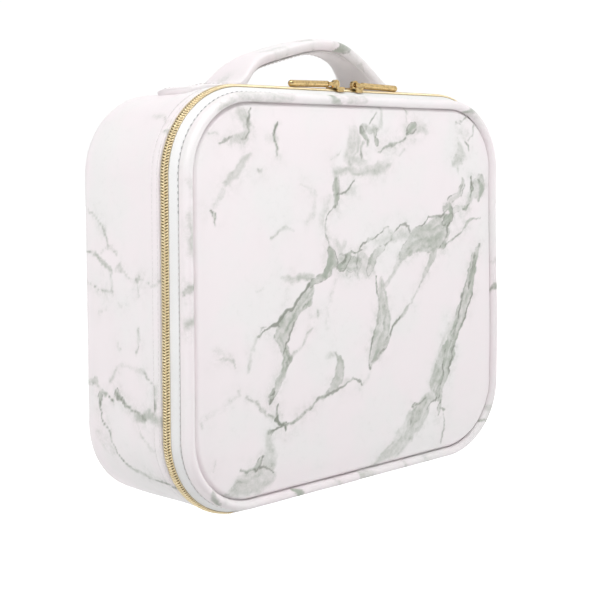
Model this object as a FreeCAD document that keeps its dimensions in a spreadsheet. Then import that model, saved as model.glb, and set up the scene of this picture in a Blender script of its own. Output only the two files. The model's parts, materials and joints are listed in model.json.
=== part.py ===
"""Soft makeup train case: a zip-round case with a shallow lid, a top handle and movable dividers.

Frame: millimetres, +Z up, +X to the right and -Y towards the front.  The origin is under the
middle of the case, on the surface that it stands on.  Every wall piece is a rounded rectangle in
the XZ plane, at some inset from the case's outline, padded along Y.
"""
import math
import os

import FreeCAD
import Part
import Sketcher
from FreeCAD import Placement, Rotation, Vector

DRIVING = [
    ("case_width", 270.0),
    ("case_height", 240.0),
    ("case_depth", 95.0),
    ("corner_radius", 50.0),
    ("wall_inset", 0.0),
    ("rear_round", 9.0),
    ("skin", 1.2),
    ("hem_width", 7.0),
    ("hem_thick", 2.0),
    ("hem_clear", 1.6),
    ("foam_thick", 2.9),
    ("foam_front_margin", 3.0),
    ("foam_rear_margin", 1.5),
    ("lining_thick", 0.8),
    ("lining_margin", 1.0),
    ("lining_setback", 5.7),
    ("back_seam", 11.5),
    ("piping_width", 2.8),
    ("board_thick", 3.5),
    ("board_lap", 0.4),
    ("zip_setback", 14.0),
    ("chain_width", 6.2),
    ("chain_thick", 2.0),
    ("chain_slot", 1.2),
    ("tape_thick", 0.7),
    ("tape_under", 6.0),
    ("binding_thick", 0.8),
    ("binding_lap", 2.0),
    ("binding_clear", 1.5),
    ("lid_inset", 2.4),
    ("roll_width", 8.2),
    ("roll_depth", 6.5),
    ("roll_outer_round", 4.2),
    ("roll_inner_round", 2.8),
    ("roll_side_skin", 1.5),
    ("roll_front_skin", 3.1),
    ("panel_recess", 0.6),
    ("lid_lining_thick", 0.7),
    ("hinge_length", 169.0),
    ("hinge_sink", 0.2),
    ("gap", 0.1),
    ("snug", 0.05),
    ("handle_y", 8.0),
    ("handle_width", 38.0),
    ("grip_width", 26.0),
    ("handle_crest", 272.0),
    ("handle_foot_end", 100.0),
    ("handle_foot_trim", 4.0),
    ("handle_lift", 0.3),
    ("underside_margin", 3.0),
    ("core_margin", 4.0),
    ("handle_foot_start", 58.0),
    ("handle_flare", 22.0),
    ("handle_bend", 12.0),
    ("grip_reach", 44.0),
    ("strap_thick", 2.4),
    ("core_thick", 3.6),
    ("under_thick", 1.0),
    ("divider_thick", 4.0),
    ("divider_front", -16.0),
    ("divider_clear", 0.3),
    ("divider_round", 1.4),
    ("shelf_height", 98.0),
    ("hook_thick", 0.8),
    ("hook_width", 18.0),
    ("hook_margin", 5.0),
    ("hook_room", 0.5),
    ("upper_divider_x", 45.0),
    ("lower_divider_x", 36.0),
    ("brush_width", 206.0),
    ("brush_height", 186.0),
    ("brush_thick", 1.9),
    ("brush_corner", 12.0),
    ("brush_margin", 3.0),
    ("pocket_rise", 4.0),
    ("pocket_height", 92.0),
    ("pocket_thick", 1.2),
    ("pocket_corner", 8.0),
    ("elastic_drop", 68.0),
    ("elastic_height", 30.0),
    ("elastic_thick", 0.7),
    ("elastic_edge", 0.8),
    ("elastic_hem", 1.5),
    ("loop_count", 8.0),
    ("loop_rise", 3.6),
    ("slider_x", 8.0),
    ("slider_length", 10.0),
    ("slider_width", 8.9),
    ("slider_corner", 2.4),
    ("slider_edge", 0.5),
    ("slider_clear", 0.25),
    ("low_wing_trim", 0.7),
    ("low_wing_corner", 2.0),
    ("post_length", 4.6),
    ("rim_length", 5.0),
    ("wing_thick", 1.3),
    ("ring_radius", 2.7),
    ("ring_hole", 1.5),
    ("ring_thick", 2.2),
    ("ring_lift", 0.15),
    ("pin_radius", 0.7),
    ("pin_play", 0.15),
    ("eye_radius", 1.4),
    ("arm_length", 6.2),
    ("arm_height", 2.4),
    ("arm_thick", 1.0),
    ("arm_clear", 0.3),
    ("yoke_length", 0.6),
    ("yoke_lap", 1.2),
    ("pull_length", 37.0),
    ("pull_radius", 2.0),
    ("pull_rest_clear", 0.35),
]

doc = FreeCAD.newDocument("TrainCase")
sheet = doc.addObject("Spreadsheet::Sheet", "Sheet")
for row, (alias, value) in enumerate(DRIVING, start=1):
    sheet.set(f"A{row}", alias)
    sheet.set(f"B{row}", str(value))
    sheet.setAlias(f"B{row}", alias)
doc.recompute()

HALF_WIDTH = "Sheet.case_width / 2"
HALF_HEIGHT = "Sheet.case_height / 2"
FRONT = "-Sheet.case_depth / 2"
REAR = "Sheet.case_depth / 2"
ZIP = f"({FRONT} + Sheet.zip_setback)"
GUSSET_FRONT = f"({ZIP} + Sheet.chain_width / 2 + Sheet.hem_clear)"
ROLL_BACK = f"({FRONT} + Sheet.roll_depth)"
FOAM_INSET = "(Sheet.skin + Sheet.gap)"
LINING_INSET = f"({FOAM_INSET} + Sheet.foam_thick + Sheet.gap)"
INNER_INSET = f"({LINING_INSET} + Sheet.lining_thick)"
TAPE_INSET = "(Sheet.chain_thick + Sheet.snug)"
ROLL_INNER = "(Sheet.lid_inset + Sheet.roll_width)"
LINING_FLOOR = f"({REAR} - Sheet.lining_setback)"
LID_LINING_BACK = f"({ROLL_BACK} + Sheet.gap + Sheet.lid_lining_thick)"
BRUSH_BACK = f"({LID_LINING_BACK} + Sheet.gap + Sheet.brush_thick)"

subparts = []


def size(expression):
    """The value of a sheet expression, in millimetres."""
    found = sheet.evalExpression(expression)
    return float(getattr(found, "Value", found))


def new_body(label):
    body = doc.addObject("PartDesign::Body", label)
    body.Label = label
    subparts.append(body)
    return body


def plane_of(body, role):
    return next(f for f in body.Origin.OriginFeatures if f.Role == role)


def xz_sketch(body, name, depth):
    """A sketch facing the front, at depth along Y, with its origin at the middle of the case's height."""
    sketch = body.newObject("Sketcher::SketchObject", name)
    sketch.AttachmentSupport = [(plane_of(body, "XZ_Plane"), "")]
    sketch.MapMode = "FlatFace"
    sketch.setExpression("AttachmentOffset.Base.y", HALF_HEIGHT)
    sketch.setExpression("AttachmentOffset.Base.z", f"-({depth})")
    return sketch


def bind(sketch, index, name, expression):
    sketch.renameConstraint(index, name)
    sketch.setExpression(f"Constraints.{name}", expression)


def rounded_rectangle(sketch, tag, half_width, half_height, radius):
    """Four lines and four arcs, tangent all round and centred on the sketch's origin."""
    w, h, r = size(half_width), size(half_height), size(radius)
    corners = [(w, h, 0), (-w, h, 90), (-w, -h, 180), (w, -h, 270)]
    shapes = []
    for i, (x, z, start) in enumerate(corners):
        centre = Vector(x - math.copysign(r, x), z - math.copysign(r, z), 0)
        circle = Part.Circle(centre, Vector(0, 0, 1), r)
        arc = Part.ArcOfCircle(circle, math.radians(start), math.radians(start + 90))
        nx, nz, _ = corners[(i + 1) % 4]
        turn = math.radians(start + 90)
        leave = centre + Vector(r * math.cos(turn), r * math.sin(turn), 0)
        next_centre = Vector(nx - math.copysign(r, nx), nz - math.copysign(r, nz), 0)
        arrive = next_centre + Vector(r * math.cos(turn), r * math.sin(turn), 0)
        shapes += [arc, Part.LineSegment(leave, arrive)]
    ids = sketch.addGeometry(shapes, False)
    for i in range(8):
        sketch.addConstraint(Sketcher.Constraint("Tangent", ids[i], 2, ids[(i + 1) % 8], 1))
    top, left, bottom, right = ids[1], ids[3], ids[5], ids[7]
    sketch.addConstraint(Sketcher.Constraint("Horizontal", top))
    sketch.addConstraint(Sketcher.Constraint("Horizontal", bottom))
    sketch.addConstraint(Sketcher.Constraint("Vertical", left))
    sketch.addConstraint(Sketcher.Constraint("Vertical", right))
    for i in (2, 4, 6):
        sketch.addConstraint(Sketcher.Constraint("Equal", ids[0], ids[i]))
    bind(sketch, sketch.addConstraint(Sketcher.Constraint("Radius", ids[0], r)), tag + "_r", radius)
    for name, kind, line, value, text in (
        ("_right", "DistanceX", right, w, half_width),
        ("_top", "DistanceY", top, h, half_height),
    ):
        index = sketch.addConstraint(Sketcher.Constraint(kind, -1, 1, line, 1, value))
        bind(sketch, index, tag + name, text)
    for name, kind, line, value, text in (
        ("_left", "DistanceX", left, w, half_width),
        ("_bottom", "DistanceY", bottom, h, half_height),
    ):
        index = sketch.addConstraint(Sketcher.Constraint(kind, line, 1, -1, 1, value))
        bind(sketch, index, tag + name, text)


def case_outline(sketch, tag, inset):
    """The case's outline, moved in by inset, with its corners kept concentric."""
    rounded_rectangle(
        sketch,
        tag,
        f"{HALF_WIDTH} - ({inset})",
        f"{HALF_HEIGHT} - ({inset})",
        f"Sheet.corner_radius - ({inset})",
    )


def pad(body, sketch, length, midplane=False):
    feature = body.newObject("PartDesign::Pad", sketch.Name + "_pad")
    feature.Profile = sketch
    feature.Midplane = midplane
    feature.setExpression("Length", length)
    sketch.Visibility = False
    doc.recompute()
    return feature


def pocket(body, sketch, length):
    """Cuts from the sketch towards the front, and makes sure that something was taken away."""
    before = body.Shape.Volume
    feature = body.newObject("PartDesign::Pocket", sketch.Name + "_pocket")
    feature.Profile = sketch
    feature.Reversed = True
    feature.setExpression("Length", length)
    doc.recompute()
    assert body.Shape.Volume < before - 0.01, f"{sketch.Name} cuts nothing"
    return feature


def fillet(body, feature, radius, chosen):
    """Rounds the edges of feature for which chosen(edge) is true."""
    names = [f"Edge{i}" for i, e in enumerate(feature.Shape.Edges, start=1) if chosen(e)]
    assert names, f"{body.Label}: no edge to round"
    rounded = body.newObject("PartDesign::Fillet", body.Label + f"_fillet{len(body.Group)}")
    rounded.Base = (feature, names)
    rounded.setExpression("Radius", radius)
    doc.recompute()
    return rounded


def edges_at(depth, inset):
    """A test for the edges of a case outline of that inset, at that depth along Y."""
    y, w, h = size(depth), size(HALF_WIDTH) - size(inset), size(HALF_HEIGHT) - size(inset)
    r = size("Sheet.corner_radius") - size(inset)
    middle = size(HALF_HEIGHT)

    def on_outline(point):
        x, z = abs(point.x), abs(point.z - middle)
        if x > w - r and z > h - r:
            return abs(math.hypot(x - (w - r), z - (h - r)) - r) < 0.02
        return abs(x - w) < 0.02 or abs(z - h) < 0.02

    def chosen(edge):
        points = edge.discretize(3)
        return all(abs(p.y - y) < 0.02 and on_outline(p) for p in points)

    return chosen


def ring(label, outer_inset, inner_inset, front, back):
    """A band of the case's wall, from front to back."""
    body = new_body(label)
    sketch = xz_sketch(body, label + "_outline", back)
    case_outline(sketch, "outer", outer_inset)
    case_outline(sketch, "inner", inner_inset)
    pad(body, sketch, f"({back}) - ({front})")
    return body


def plate(label, inset, front, back):
    """A flat panel of the case's outline, from front to back."""
    body = new_body(label)
    sketch = xz_sketch(body, label + "_outline", back)
    case_outline(sketch, "outer", inset)
    pad(body, sketch, f"({back}) - ({front})")
    return body


def panel(label, half_width, low, high, front, back, radius):
    """A flat rounded panel between the heights low and high."""
    body = new_body(label)
    sketch = xz_sketch(body, label + "_outline", back)
    sketch.setExpression("AttachmentOffset.Base.y", f"(({low}) + ({high})) / 2")
    rounded_rectangle(sketch, "outer", half_width, f"(({high}) - ({low})) / 2", radius)
    pad(body, sketch, f"({back}) - ({front})")
    return body


def leave_out_hinge(body, half_length):
    """Cuts a ring away along the bottom, where the hinge strip takes its place."""
    cut = body.newObject("PartDesign::SubtractiveBox", body.Label + "_hinge_gap")
    cut.setExpression("Length", f"2 * ({half_length})")
    cut.setExpression("Width", "Sheet.case_depth")
    cut.setExpression("Height", "Sheet.corner_radius / 2")
    cut.setExpression("Placement.Base.x", f"-({half_length})")
    cut.setExpression("Placement.Base.y", FRONT)
    doc.recompute()


def yz_profile(body, name, points, half_length):
    """A prism along X, centred, whose section is given as (Y, Z) expression pairs."""
    sketch = body.newObject("Sketcher::SketchObject", name)
    sketch.AttachmentSupport = [(plane_of(body, "YZ_Plane"), "")]
    sketch.MapMode = "FlatFace"
    places = [Vector(size(y), size(z), 0) for y, z in points]
    count = len(points)
    lines = [Part.LineSegment(places[i], places[(i + 1) % count]) for i in range(count)]
    ids = sketch.addGeometry(lines, False)
    for i in range(count):
        sketch.addConstraint(Sketcher.Constraint("Coincident", ids[i], 2, ids[(i + 1) % count], 1))
    for i, (y, z) in enumerate(points):
        across = Sketcher.Constraint("DistanceX", -1, 1, ids[i], 1, places[i].x)
        bind(sketch, sketch.addConstraint(across), f"y{i}", y)
        up = Sketcher.Constraint("DistanceY", -1, 1, ids[i], 1, places[i].y)
        bind(sketch, sketch.addConstraint(up), f"z{i}", z)
    pad(body, sketch, f"2 * ({half_length})", midplane=True)


# ---------------------------------------------------------------- the rear tub

def make_gusset():
    """The leather wall of the tub. It wraps round the rear edge, and its front edge is a folded hem."""
    body = new_body("base_gusset")
    outline = xz_sketch(body, "gusset_outline", REAR)
    case_outline(outline, "outer", "Sheet.wall_inset")
    solid = pad(body, outline, f"{REAR} - {GUSSET_FRONT}")
    rounded = fillet(body, solid, "Sheet.rear_round", edges_at(REAR, "Sheet.wall_inset"))
    shell = body.newObject("PartDesign::Thickness", "gusset_shell")
    front = size(GUSSET_FRONT)
    faces = enumerate(rounded.Shape.Faces, start=1)
    shell.Base = (rounded, [f"Face{i}" for i, f in faces if abs(f.BoundBox.YMax - front) < 0.01])
    shell.Reversed = True
    shell.setExpression("Value", "Sheet.skin")
    doc.recompute()
    back = xz_sketch(body, "gusset_back_opening", REAR)
    case_outline(back, "seam", "Sheet.back_seam")
    pocket(body, back, "2 * Sheet.skin")
    hem = xz_sketch(body, "gusset_hem", f"{GUSSET_FRONT} + Sheet.hem_width")
    case_outline(hem, "outer", "Sheet.skin / 2")
    case_outline(hem, "inner", "Sheet.hem_thick")
    pad(body, hem, "Sheet.hem_width")


def make_lining():
    """The fabric tub inside the case, open at the front."""
    body = new_body("base_lining")
    outline = xz_sketch(body, "lining_outline", LINING_FLOOR)
    case_outline(outline, "outer", LINING_INSET)
    front = f"({GUSSET_FRONT} + Sheet.hem_width + Sheet.lining_margin)"
    pad(body, outline, f"{LINING_FLOOR} - {front}")
    inside = xz_sketch(body, "lining_inside", f"{LINING_FLOOR} - Sheet.lining_thick")
    case_outline(inside, "inner", INNER_INSET)
    pocket(body, inside, "Sheet.case_depth")


def make_tub():
    make_gusset()
    foam_front = f"({GUSSET_FRONT} + Sheet.hem_width + Sheet.foam_front_margin)"
    foam_back = f"({REAR} - Sheet.rear_round - Sheet.foam_rear_margin)"
    ring("base_foam_wall", FOAM_INSET, f"{FOAM_INSET} + Sheet.foam_thick", foam_front, foam_back)
    make_lining()
    seam = "(Sheet.back_seam + Sheet.gap)"
    ring("rear_piping", seam, f"{seam} + Sheet.piping_width", f"{REAR} - Sheet.skin", REAR)
    panel_inset = f"{seam} + Sheet.piping_width + Sheet.gap"
    plate("back_panel", panel_inset, f"{REAR} - Sheet.skin", f"{REAR} - Sheet.board_lap")
    board_back = f"({REAR} - Sheet.skin - Sheet.gap)"
    plate("back_board", f"{seam} + Sheet.board_lap", f"{board_back} - Sheet.board_thick", board_back)


# ---------------------------------------------------------------- the lid

def make_roll():
    """The padded leather edge round the front panel: a rounded skin, open at the back over its core."""
    body = ring("lid_edge_roll", "Sheet.lid_inset", ROLL_INNER, FRONT, ROLL_BACK)
    solid = body.Tip
    first = fillet(body, solid, "Sheet.roll_outer_round", edges_at(FRONT, "Sheet.lid_inset"))
    fillet(body, first, "Sheet.roll_inner_round", edges_at(FRONT, ROLL_INNER))
    channel = xz_sketch(body, "roll_channel", ROLL_BACK)
    case_outline(channel, "outer", "Sheet.lid_inset + Sheet.roll_side_skin")
    case_outline(channel, "inner", f"{ROLL_INNER} - Sheet.roll_side_skin")
    pocket(body, channel, "Sheet.roll_depth - Sheet.roll_front_skin")


def make_lid():
    make_roll()
    ring(
        "lid_roll_core",
        "(Sheet.lid_inset + Sheet.roll_side_skin + Sheet.snug)",
        f"({ROLL_INNER} - Sheet.roll_side_skin - Sheet.snug)",
        f"({FRONT} + Sheet.roll_front_skin + Sheet.snug)",
        f"({ROLL_BACK} - Sheet.snug)",
    )
    face = f"({FRONT} + Sheet.panel_recess)"
    plate("lid_panel", f"{ROLL_INNER} + Sheet.gap", face, f"{face} + Sheet.skin")
    board_front = f"({face} + Sheet.skin + Sheet.gap)"
    plate("lid_board", f"{ROLL_INNER} + 2 * Sheet.gap", board_front, f"({ROLL_BACK} - Sheet.gap)")
    plate("lid_lining", LINING_INSET, f"({ROLL_BACK} + Sheet.gap)", LID_LINING_BACK)


# ---------------------------------------------------------------- the zip

def make_zip():
    """Two tapes, each with its half of the chain. A slot between the halves lets the sliders' posts pass."""
    half_slot = "Sheet.chain_slot / 2"
    tape_inner = f"({TAPE_INSET} + Sheet.tape_thick)"
    half_hinge = "(Sheet.hinge_length / 2 + 3 * Sheet.gap)"
    tape_ends = "(Sheet.hinge_length / 2 + 2 * Sheet.gap)"
    base_edge = f"({ZIP} + {half_slot})"
    lid_edge = f"({ZIP} - {half_slot})"
    base_tape_back = f"({GUSSET_FRONT} + Sheet.tape_under)"
    leave_out_hinge(ring("base_zip_tape", TAPE_INSET, tape_inner, base_edge, base_tape_back), tape_ends)
    lid_tape_front = f"({ROLL_BACK} + Sheet.gap)"
    leave_out_hinge(ring("lid_zip_tape", TAPE_INSET, tape_inner, lid_tape_front, lid_edge), tape_ends)
    base_chain_back = f"({ZIP} + Sheet.chain_width / 2)"
    chain = ring("base_zip_chain", "Sheet.wall_inset", "Sheet.chain_thick", base_edge, base_chain_back)
    leave_out_hinge(chain, half_hinge)
    lid_chain_front = f"({ZIP} - Sheet.chain_width / 2)"
    chain = ring("lid_zip_chain", "Sheet.wall_inset", "Sheet.chain_thick", lid_chain_front, lid_edge)
    leave_out_hinge(chain, half_hinge)
    binding = f"({tape_inner} + Sheet.gap)"
    binding_inner = f"({binding} + Sheet.binding_thick)"
    binding_back = f"({GUSSET_FRONT} + Sheet.hem_width + Sheet.binding_lap)"
    ring("base_seam_binding", binding, binding_inner, GUSSET_FRONT, binding_back)
    lid_binding_back = f"({ZIP} - Sheet.chain_width / 2 - Sheet.binding_clear)"
    ring("lid_seam_binding", binding, binding_inner, f"({LID_LINING_BACK} + Sheet.gap)", lid_binding_back)


def make_hinge_strip():
    """The leather strip along the bottom that the lid turns on, as the half sewn to each side."""
    half_length = "Sheet.hinge_length / 2"
    low, high = "Sheet.hinge_sink", "Sheet.chain_thick - Sheet.gap"
    under, flange = TAPE_INSET, f"({TAPE_INSET} + Sheet.tape_thick)"
    base = new_body("hinge_strip_base")
    near, edge = f"({ZIP} + Sheet.hinge_sink)", f"({GUSSET_FRONT} - Sheet.gap)"
    tucked = f"({GUSSET_FRONT} + Sheet.tape_under)"
    section = [(near, low), (edge, low), (edge, under), (tucked, under), (tucked, flange), (near, flange)]
    yz_profile(base, "hinge_base_section", section, half_length)
    lid = new_body("hinge_strip_lid")
    near, far = f"({ZIP} - Sheet.hinge_sink)", f"({ROLL_BACK} + Sheet.gap)"
    yz_profile(lid, "hinge_lid_section", [(far, low), (near, low), (near, high), (far, high)], half_length)


# ---------------------------------------------------------------- inside the lid

def make_brush_holder():
    """A padded board in the lid, with a channelled pocket below and a looped elastic above."""
    half_width = "Sheet.brush_width / 2"
    low = f"({HALF_HEIGHT} - Sheet.brush_height / 2)"
    high = f"({HALF_HEIGHT} + Sheet.brush_height / 2)"
    board_front = f"({LID_LINING_BACK} + Sheet.gap)"
    panel("brush_board", half_width, low, high, board_front, BRUSH_BACK, "Sheet.brush_corner")
    front = f"({BRUSH_BACK} + Sheet.gap)"
    pocket_low = f"({low} + Sheet.pocket_rise)"
    panel(
        "brush_pocket",
        f"({half_width} - Sheet.brush_margin)",
        pocket_low,
        f"({pocket_low} + Sheet.pocket_height)",
        front,
        f"({front} + Sheet.pocket_thick)",
        "Sheet.pocket_corner",
    )
    make_elastic(f"({half_width} - Sheet.brush_margin)", f"({high} - Sheet.elastic_drop)", front)


def make_elastic(half_width, low, front):
    """An elastic ribbon sewn down between loops that each hold a brush."""
    body = new_body("brush_elastic")
    sketch = body.newObject("Sketcher::SketchObject", "elastic_loop")
    sketch.AttachmentSupport = [(plane_of(body, "XY_Plane"), "")]
    sketch.MapMode = "FlatFace"
    sketch.setExpression("AttachmentOffset.Base.z", low)
    pitch = 2 * size(half_width) / size("Sheet.loop_count")
    start, y, rise = -size(half_width), size(front), size("Sheet.loop_rise")
    thick, edge, hem = (size(f"Sheet.elastic_{n}") for n in ("thick", "edge", "hem"))
    left, right, middle = start, start + pitch, start + pitch / 2
    outer = Part.Arc(Vector(left, y + edge, 0), Vector(middle, y + rise, 0), Vector(right, y + edge, 0))
    hollow_left, hollow_right = left + hem, right - hem
    top = Vector(middle, y + rise - thick, 0)
    inner = Part.Arc(Vector(hollow_left, y, 0), top, Vector(hollow_right, y, 0))
    lines = [
        Part.LineSegment(Vector(left, y, 0), Vector(hollow_left, y, 0)),
        Part.LineSegment(Vector(hollow_right, y, 0), Vector(right, y, 0)),
        Part.LineSegment(Vector(right, y, 0), Vector(right, y + edge, 0)),
        Part.LineSegment(Vector(left, y + edge, 0), Vector(left, y, 0)),
    ]
    ids = sketch.addGeometry([outer, inner, *lines], False)
    for index in ids:
        sketch.addConstraint(Sketcher.Constraint("Block", index))
    loop = pad(body, sketch, "Sheet.elastic_height")
    pattern = body.newObject("PartDesign::LinearPattern", "elastic_loops")
    pattern.Originals = [loop]
    pattern.Direction = (plane_of(body, "X_Axis"), [""])
    pattern.setExpression("Length", f"2 * {half_width} * (1 - 1 / Sheet.loop_count)")
    pattern.setExpression("Occurrences", "Sheet.loop_count")
    body.Tip = pattern
    doc.recompute()


# ---------------------------------------------------------------- the dividers

def box_body(label, x, y, z, length, width, height):
    body = new_body(label)
    block = body.newObject("PartDesign::AdditiveBox", label + "_pad")
    for name, text in (("Length", length), ("Width", width), ("Height", height)):
        block.setExpression(name, text)
    for name, text in (("x", x), ("y", y), ("z", z)):
        block.setExpression(f"Placement.Base.{name}", text)
    doc.recompute()
    return body, block


def make_dividers():
    """A shelf across the case, and four upright pads, each held to the lining by hook strips."""
    depth = f"({LINING_FLOOR} - Sheet.lining_thick - Sheet.divider_clear - Sheet.divider_front)"
    reach = f"({HALF_WIDTH} - {INNER_INSET} - Sheet.hook_thick - Sheet.divider_clear)"
    low = "(Sheet.shelf_height - Sheet.divider_thick / 2)"
    thick = "Sheet.divider_thick"
    front, across = "Sheet.divider_front", f"2 * {reach}"
    shelf, block = box_body("divider_shelf", f"-{reach}", front, low, across, depth, thick)
    fillet(shelf, block, "Sheet.divider_round", front_edges("Sheet.divider_front"))
    hooks = new_body("divider_shelf_hooks")
    places = (("left", f"-({reach} + Sheet.hook_thick + Sheet.gap)"), ("right", f"({reach} + Sheet.gap)"))
    for side, x in places:
        strip = hooks.newObject("PartDesign::AdditiveBox", f"shelf_hook_{side}")
        strip.setExpression("Length", "Sheet.hook_thick")
        strip.setExpression("Width", f"{depth} - 2 * Sheet.hook_margin")
        strip.setExpression("Height", "Sheet.hook_width")
        strip.setExpression("Placement.Base.x", x)
        strip.setExpression("Placement.Base.y", "Sheet.divider_front + Sheet.hook_margin")
        strip.setExpression("Placement.Base.z", "Sheet.shelf_height - Sheet.hook_width / 2")
    hooks.AllowCompound = True
    doc.recompute()
    floor, ceiling = INNER_INSET, f"(Sheet.case_height - {INNER_INSET})"
    shelf_top = "(Sheet.shelf_height + Sheet.divider_thick / 2)"
    rows = (
        ("upper", "Sheet.upper_divider_x", shelf_top, ceiling),
        ("lower", "Sheet.lower_divider_x", floor, low),
    )
    for level, offset, bottom, top in rows:
        for side, sign in (("left", "-"), ("right", "")):
            make_upright(f"divider_{level}_{side}", f"{sign}{offset}", bottom, top, depth)


def front_edges(depth):
    y = size(depth)

    def chosen(edge):
        points = [v.Point for v in edge.Vertexes]
        along = max(abs(points[0].x - points[1].x), abs(points[0].z - points[1].z))
        return all(abs(p.y - y) < 0.02 for p in points) and along > size("Sheet.divider_thick") * 2

    return chosen


def make_upright(label, x, bottom, top, depth):
    """One upright pad, with a hook strip across each end."""
    space = "(Sheet.hook_thick + Sheet.hook_room)"
    low, high = f"({bottom} + {space})", f"({top} - {space})"
    left = f"({x} - Sheet.divider_thick / 2)"
    thick = "Sheet.divider_thick"
    body, block = box_body(label, left, "Sheet.divider_front", low, thick, depth, f"{high} - {low}")
    fillet(body, block, "Sheet.divider_round", front_edges("Sheet.divider_front"))
    hooks = new_body(label + "_hooks")
    for end, z in (("low", f"({low} - Sheet.gap - Sheet.hook_thick)"), ("high", f"({high} + Sheet.gap)")):
        strip = hooks.newObject("PartDesign::AdditiveBox", f"{label}_hook_{end}")
        strip.setExpression("Length", "Sheet.hook_width")
        strip.setExpression("Width", f"{depth} - 2 * Sheet.hook_margin")
        strip.setExpression("Height", "Sheet.hook_thick")
        strip.setExpression("Placement.Base.x", f"({x} - Sheet.hook_width / 2)")
        strip.setExpression("Placement.Base.y", "Sheet.divider_front + Sheet.hook_margin")
        strip.setExpression("Placement.Base.z", z)
    hooks.AllowCompound = True
    doc.recompute()


# ---------------------------------------------------------------- the handle

def flipped(point):
    return Vector(-point.x, point.y, point.z)


def both_sides(first, middle, last):
    """The arc through three points, and its mirror image on the handle's other side."""
    right = Part.Arc(first, middle, last).toShape()
    return [right, Part.Arc(flipped(first), flipped(middle), flipped(last)).toShape()]


def handle_curve(offset, reach):
    """A curve at offset above the handle's middle line, out to reach on both sides.

    It is a crown arc, then a hollow arc down to each foot, and a flat foot that follows the case
    over the start of its corner.  The curve's edges and its right-hand end are returned.
    """
    foot = size("Sheet.case_height + Sheet.under_thick + Sheet.strap_thick / 2 + Sheet.handle_lift")
    crest = size("Sheet.handle_crest - Sheet.strap_thick / 2")
    start, bend = size("Sheet.handle_foot_start"), size("Sheet.handle_bend")
    crown = (start**2 + (crest - foot) ** 2) / (2 * (crest - foot)) - bend
    slope = math.acos((crown + bend - crest + foot) / (crown + bend))
    middle, top = Vector(0, 0, crest - crown), Vector(0, 0, crest + offset)

    def on_crown(angle):
        return middle + Vector(math.sin(angle), 0, math.cos(angle)) * (crown + offset)

    if reach < start:
        end = on_crown(math.asin(reach / crown))
        return [Part.Arc(flipped(end), top, end).toShape()], end
    hollow, turn = Vector(start, 0, foot + bend), on_crown(slope)
    halfway = hollow - Vector(math.sin(slope / 2), 0, math.cos(slope / 2)) * (bend - offset)
    landing = Vector(start, 0, foot + offset)
    corner = size("Sheet.corner_radius")
    edge_x, edge_z = size(HALF_WIDTH) - corner, size("Sheet.case_height") - corner
    radius = foot + offset - edge_z
    shoulder = Vector(edge_x, 0, foot + offset)

    def on_corner(angle):
        return Vector(edge_x + radius * math.sin(angle), 0, edge_z + radius * math.cos(angle))

    droop = math.asin((reach - edge_x) / (foot - edge_z))
    end = on_corner(droop)
    edges = [Part.Arc(flipped(turn), top, turn).toShape()]
    edges += both_sides(turn, halfway, landing) + both_sides(shoulder, on_corner(droop / 2), end)
    edges.append(Part.LineSegment(landing, shoulder).toShape())
    edges.append(Part.LineSegment(flipped(landing), flipped(shoulder)).toShape())
    return edges, end


def handle_band(low, high, reach, width):
    """The solid between two offsets of the handle's middle line, from y = 0 to its width."""
    lower, low_end = handle_curve(low, reach)
    upper, high_end = handle_curve(high, reach)
    ends = [Part.LineSegment(low_end, high_end).toShape()]
    ends.append(Part.LineSegment(flipped(low_end), flipped(high_end)).toShape())
    face = Part.Face(Part.Wire(Part.__sortEdges__(lower + upper + ends)))
    return face.extrude(Vector(0, width, 0))


def waisted(band, middle, foot_width, waist_width):
    """Narrows a band about y = middle, to waist_width over the grip, and trims its feet's corners."""
    waist, foot, reach = waist_width / 2, foot_width / 2, size("Sheet.handle_foot_end") + 0.5
    start, trim = size("Sheet.handle_foot_start"), size("Sheet.handle_foot_trim")
    narrow = start - size("Sheet.handle_flare")
    right = [(narrow, waist), (start + trim, foot), (reach - trim, foot), (reach, foot - trim)]
    half = [(-x, y) for x, y in reversed(right)] + right
    points = half + [(x, -y) for x, y in reversed(half)]
    low = size("Sheet.case_height - Sheet.corner_radius")
    outline = Part.makePolygon([Vector(x, middle + y, low) for x, y in points + points[:1]])
    return band.common(Part.Face(outline).extrude(Vector(0, 0, size("Sheet.corner_radius") * 2)))


def add_fixed(label, shape, placement):
    feature = doc.addObject("Part::Feature", label)
    feature.Label = label
    feature.Shape = shape
    feature.Placement = placement
    subparts.append(feature)
    return feature


def make_handle():
    """Leather over a foam core, with a plain strip sewn underneath. Its flat feet are sewn to the top."""
    strap, core, under = (size(f"Sheet.{n}_thick") for n in ("strap", "core", "under"))
    width, grip = size("Sheet.handle_width"), size("Sheet.grip_width")
    reach, core_reach = size("Sheet.handle_foot_end"), size("Sheet.grip_reach")
    middle, core_width = width / 2, grip - size("Sheet.core_margin")
    under_strap, gap = -strap / 2, size("Sheet.snug")
    margin = size("Sheet.underside_margin")
    core_bottom = under_strap - core
    place = Placement(Vector(0, size("Sheet.handle_y") - middle, 0), Rotation())
    core_place = Placement(Vector(0, size("Sheet.handle_y") - core_width / 2, 0), Rotation())
    top = waisted(handle_band(under_strap, strap / 2, reach, width), middle, width, grip)
    add_fixed("handle_strap", top, place)
    padding = handle_band(core_bottom, under_strap - gap, core_reach, core_width)
    add_fixed("handle_core", padding, core_place)
    leg = handle_band(under_strap - gap - under, under_strap - gap, reach, width)
    room = handle_band(core_bottom, under_strap, core_reach + gap, width)
    legs = waisted(leg, middle, width - margin, grip - margin).cut(room)
    tray = handle_band(core_bottom - gap - under, core_bottom - gap, core_reach, core_width)
    tray.translate(Vector(0, middle - core_width / 2, 0))
    add_fixed("handle_underside", Part.makeCompound([*legs.Solids, tray]), place)


# ---------------------------------------------------------------- sliders and pulls

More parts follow.
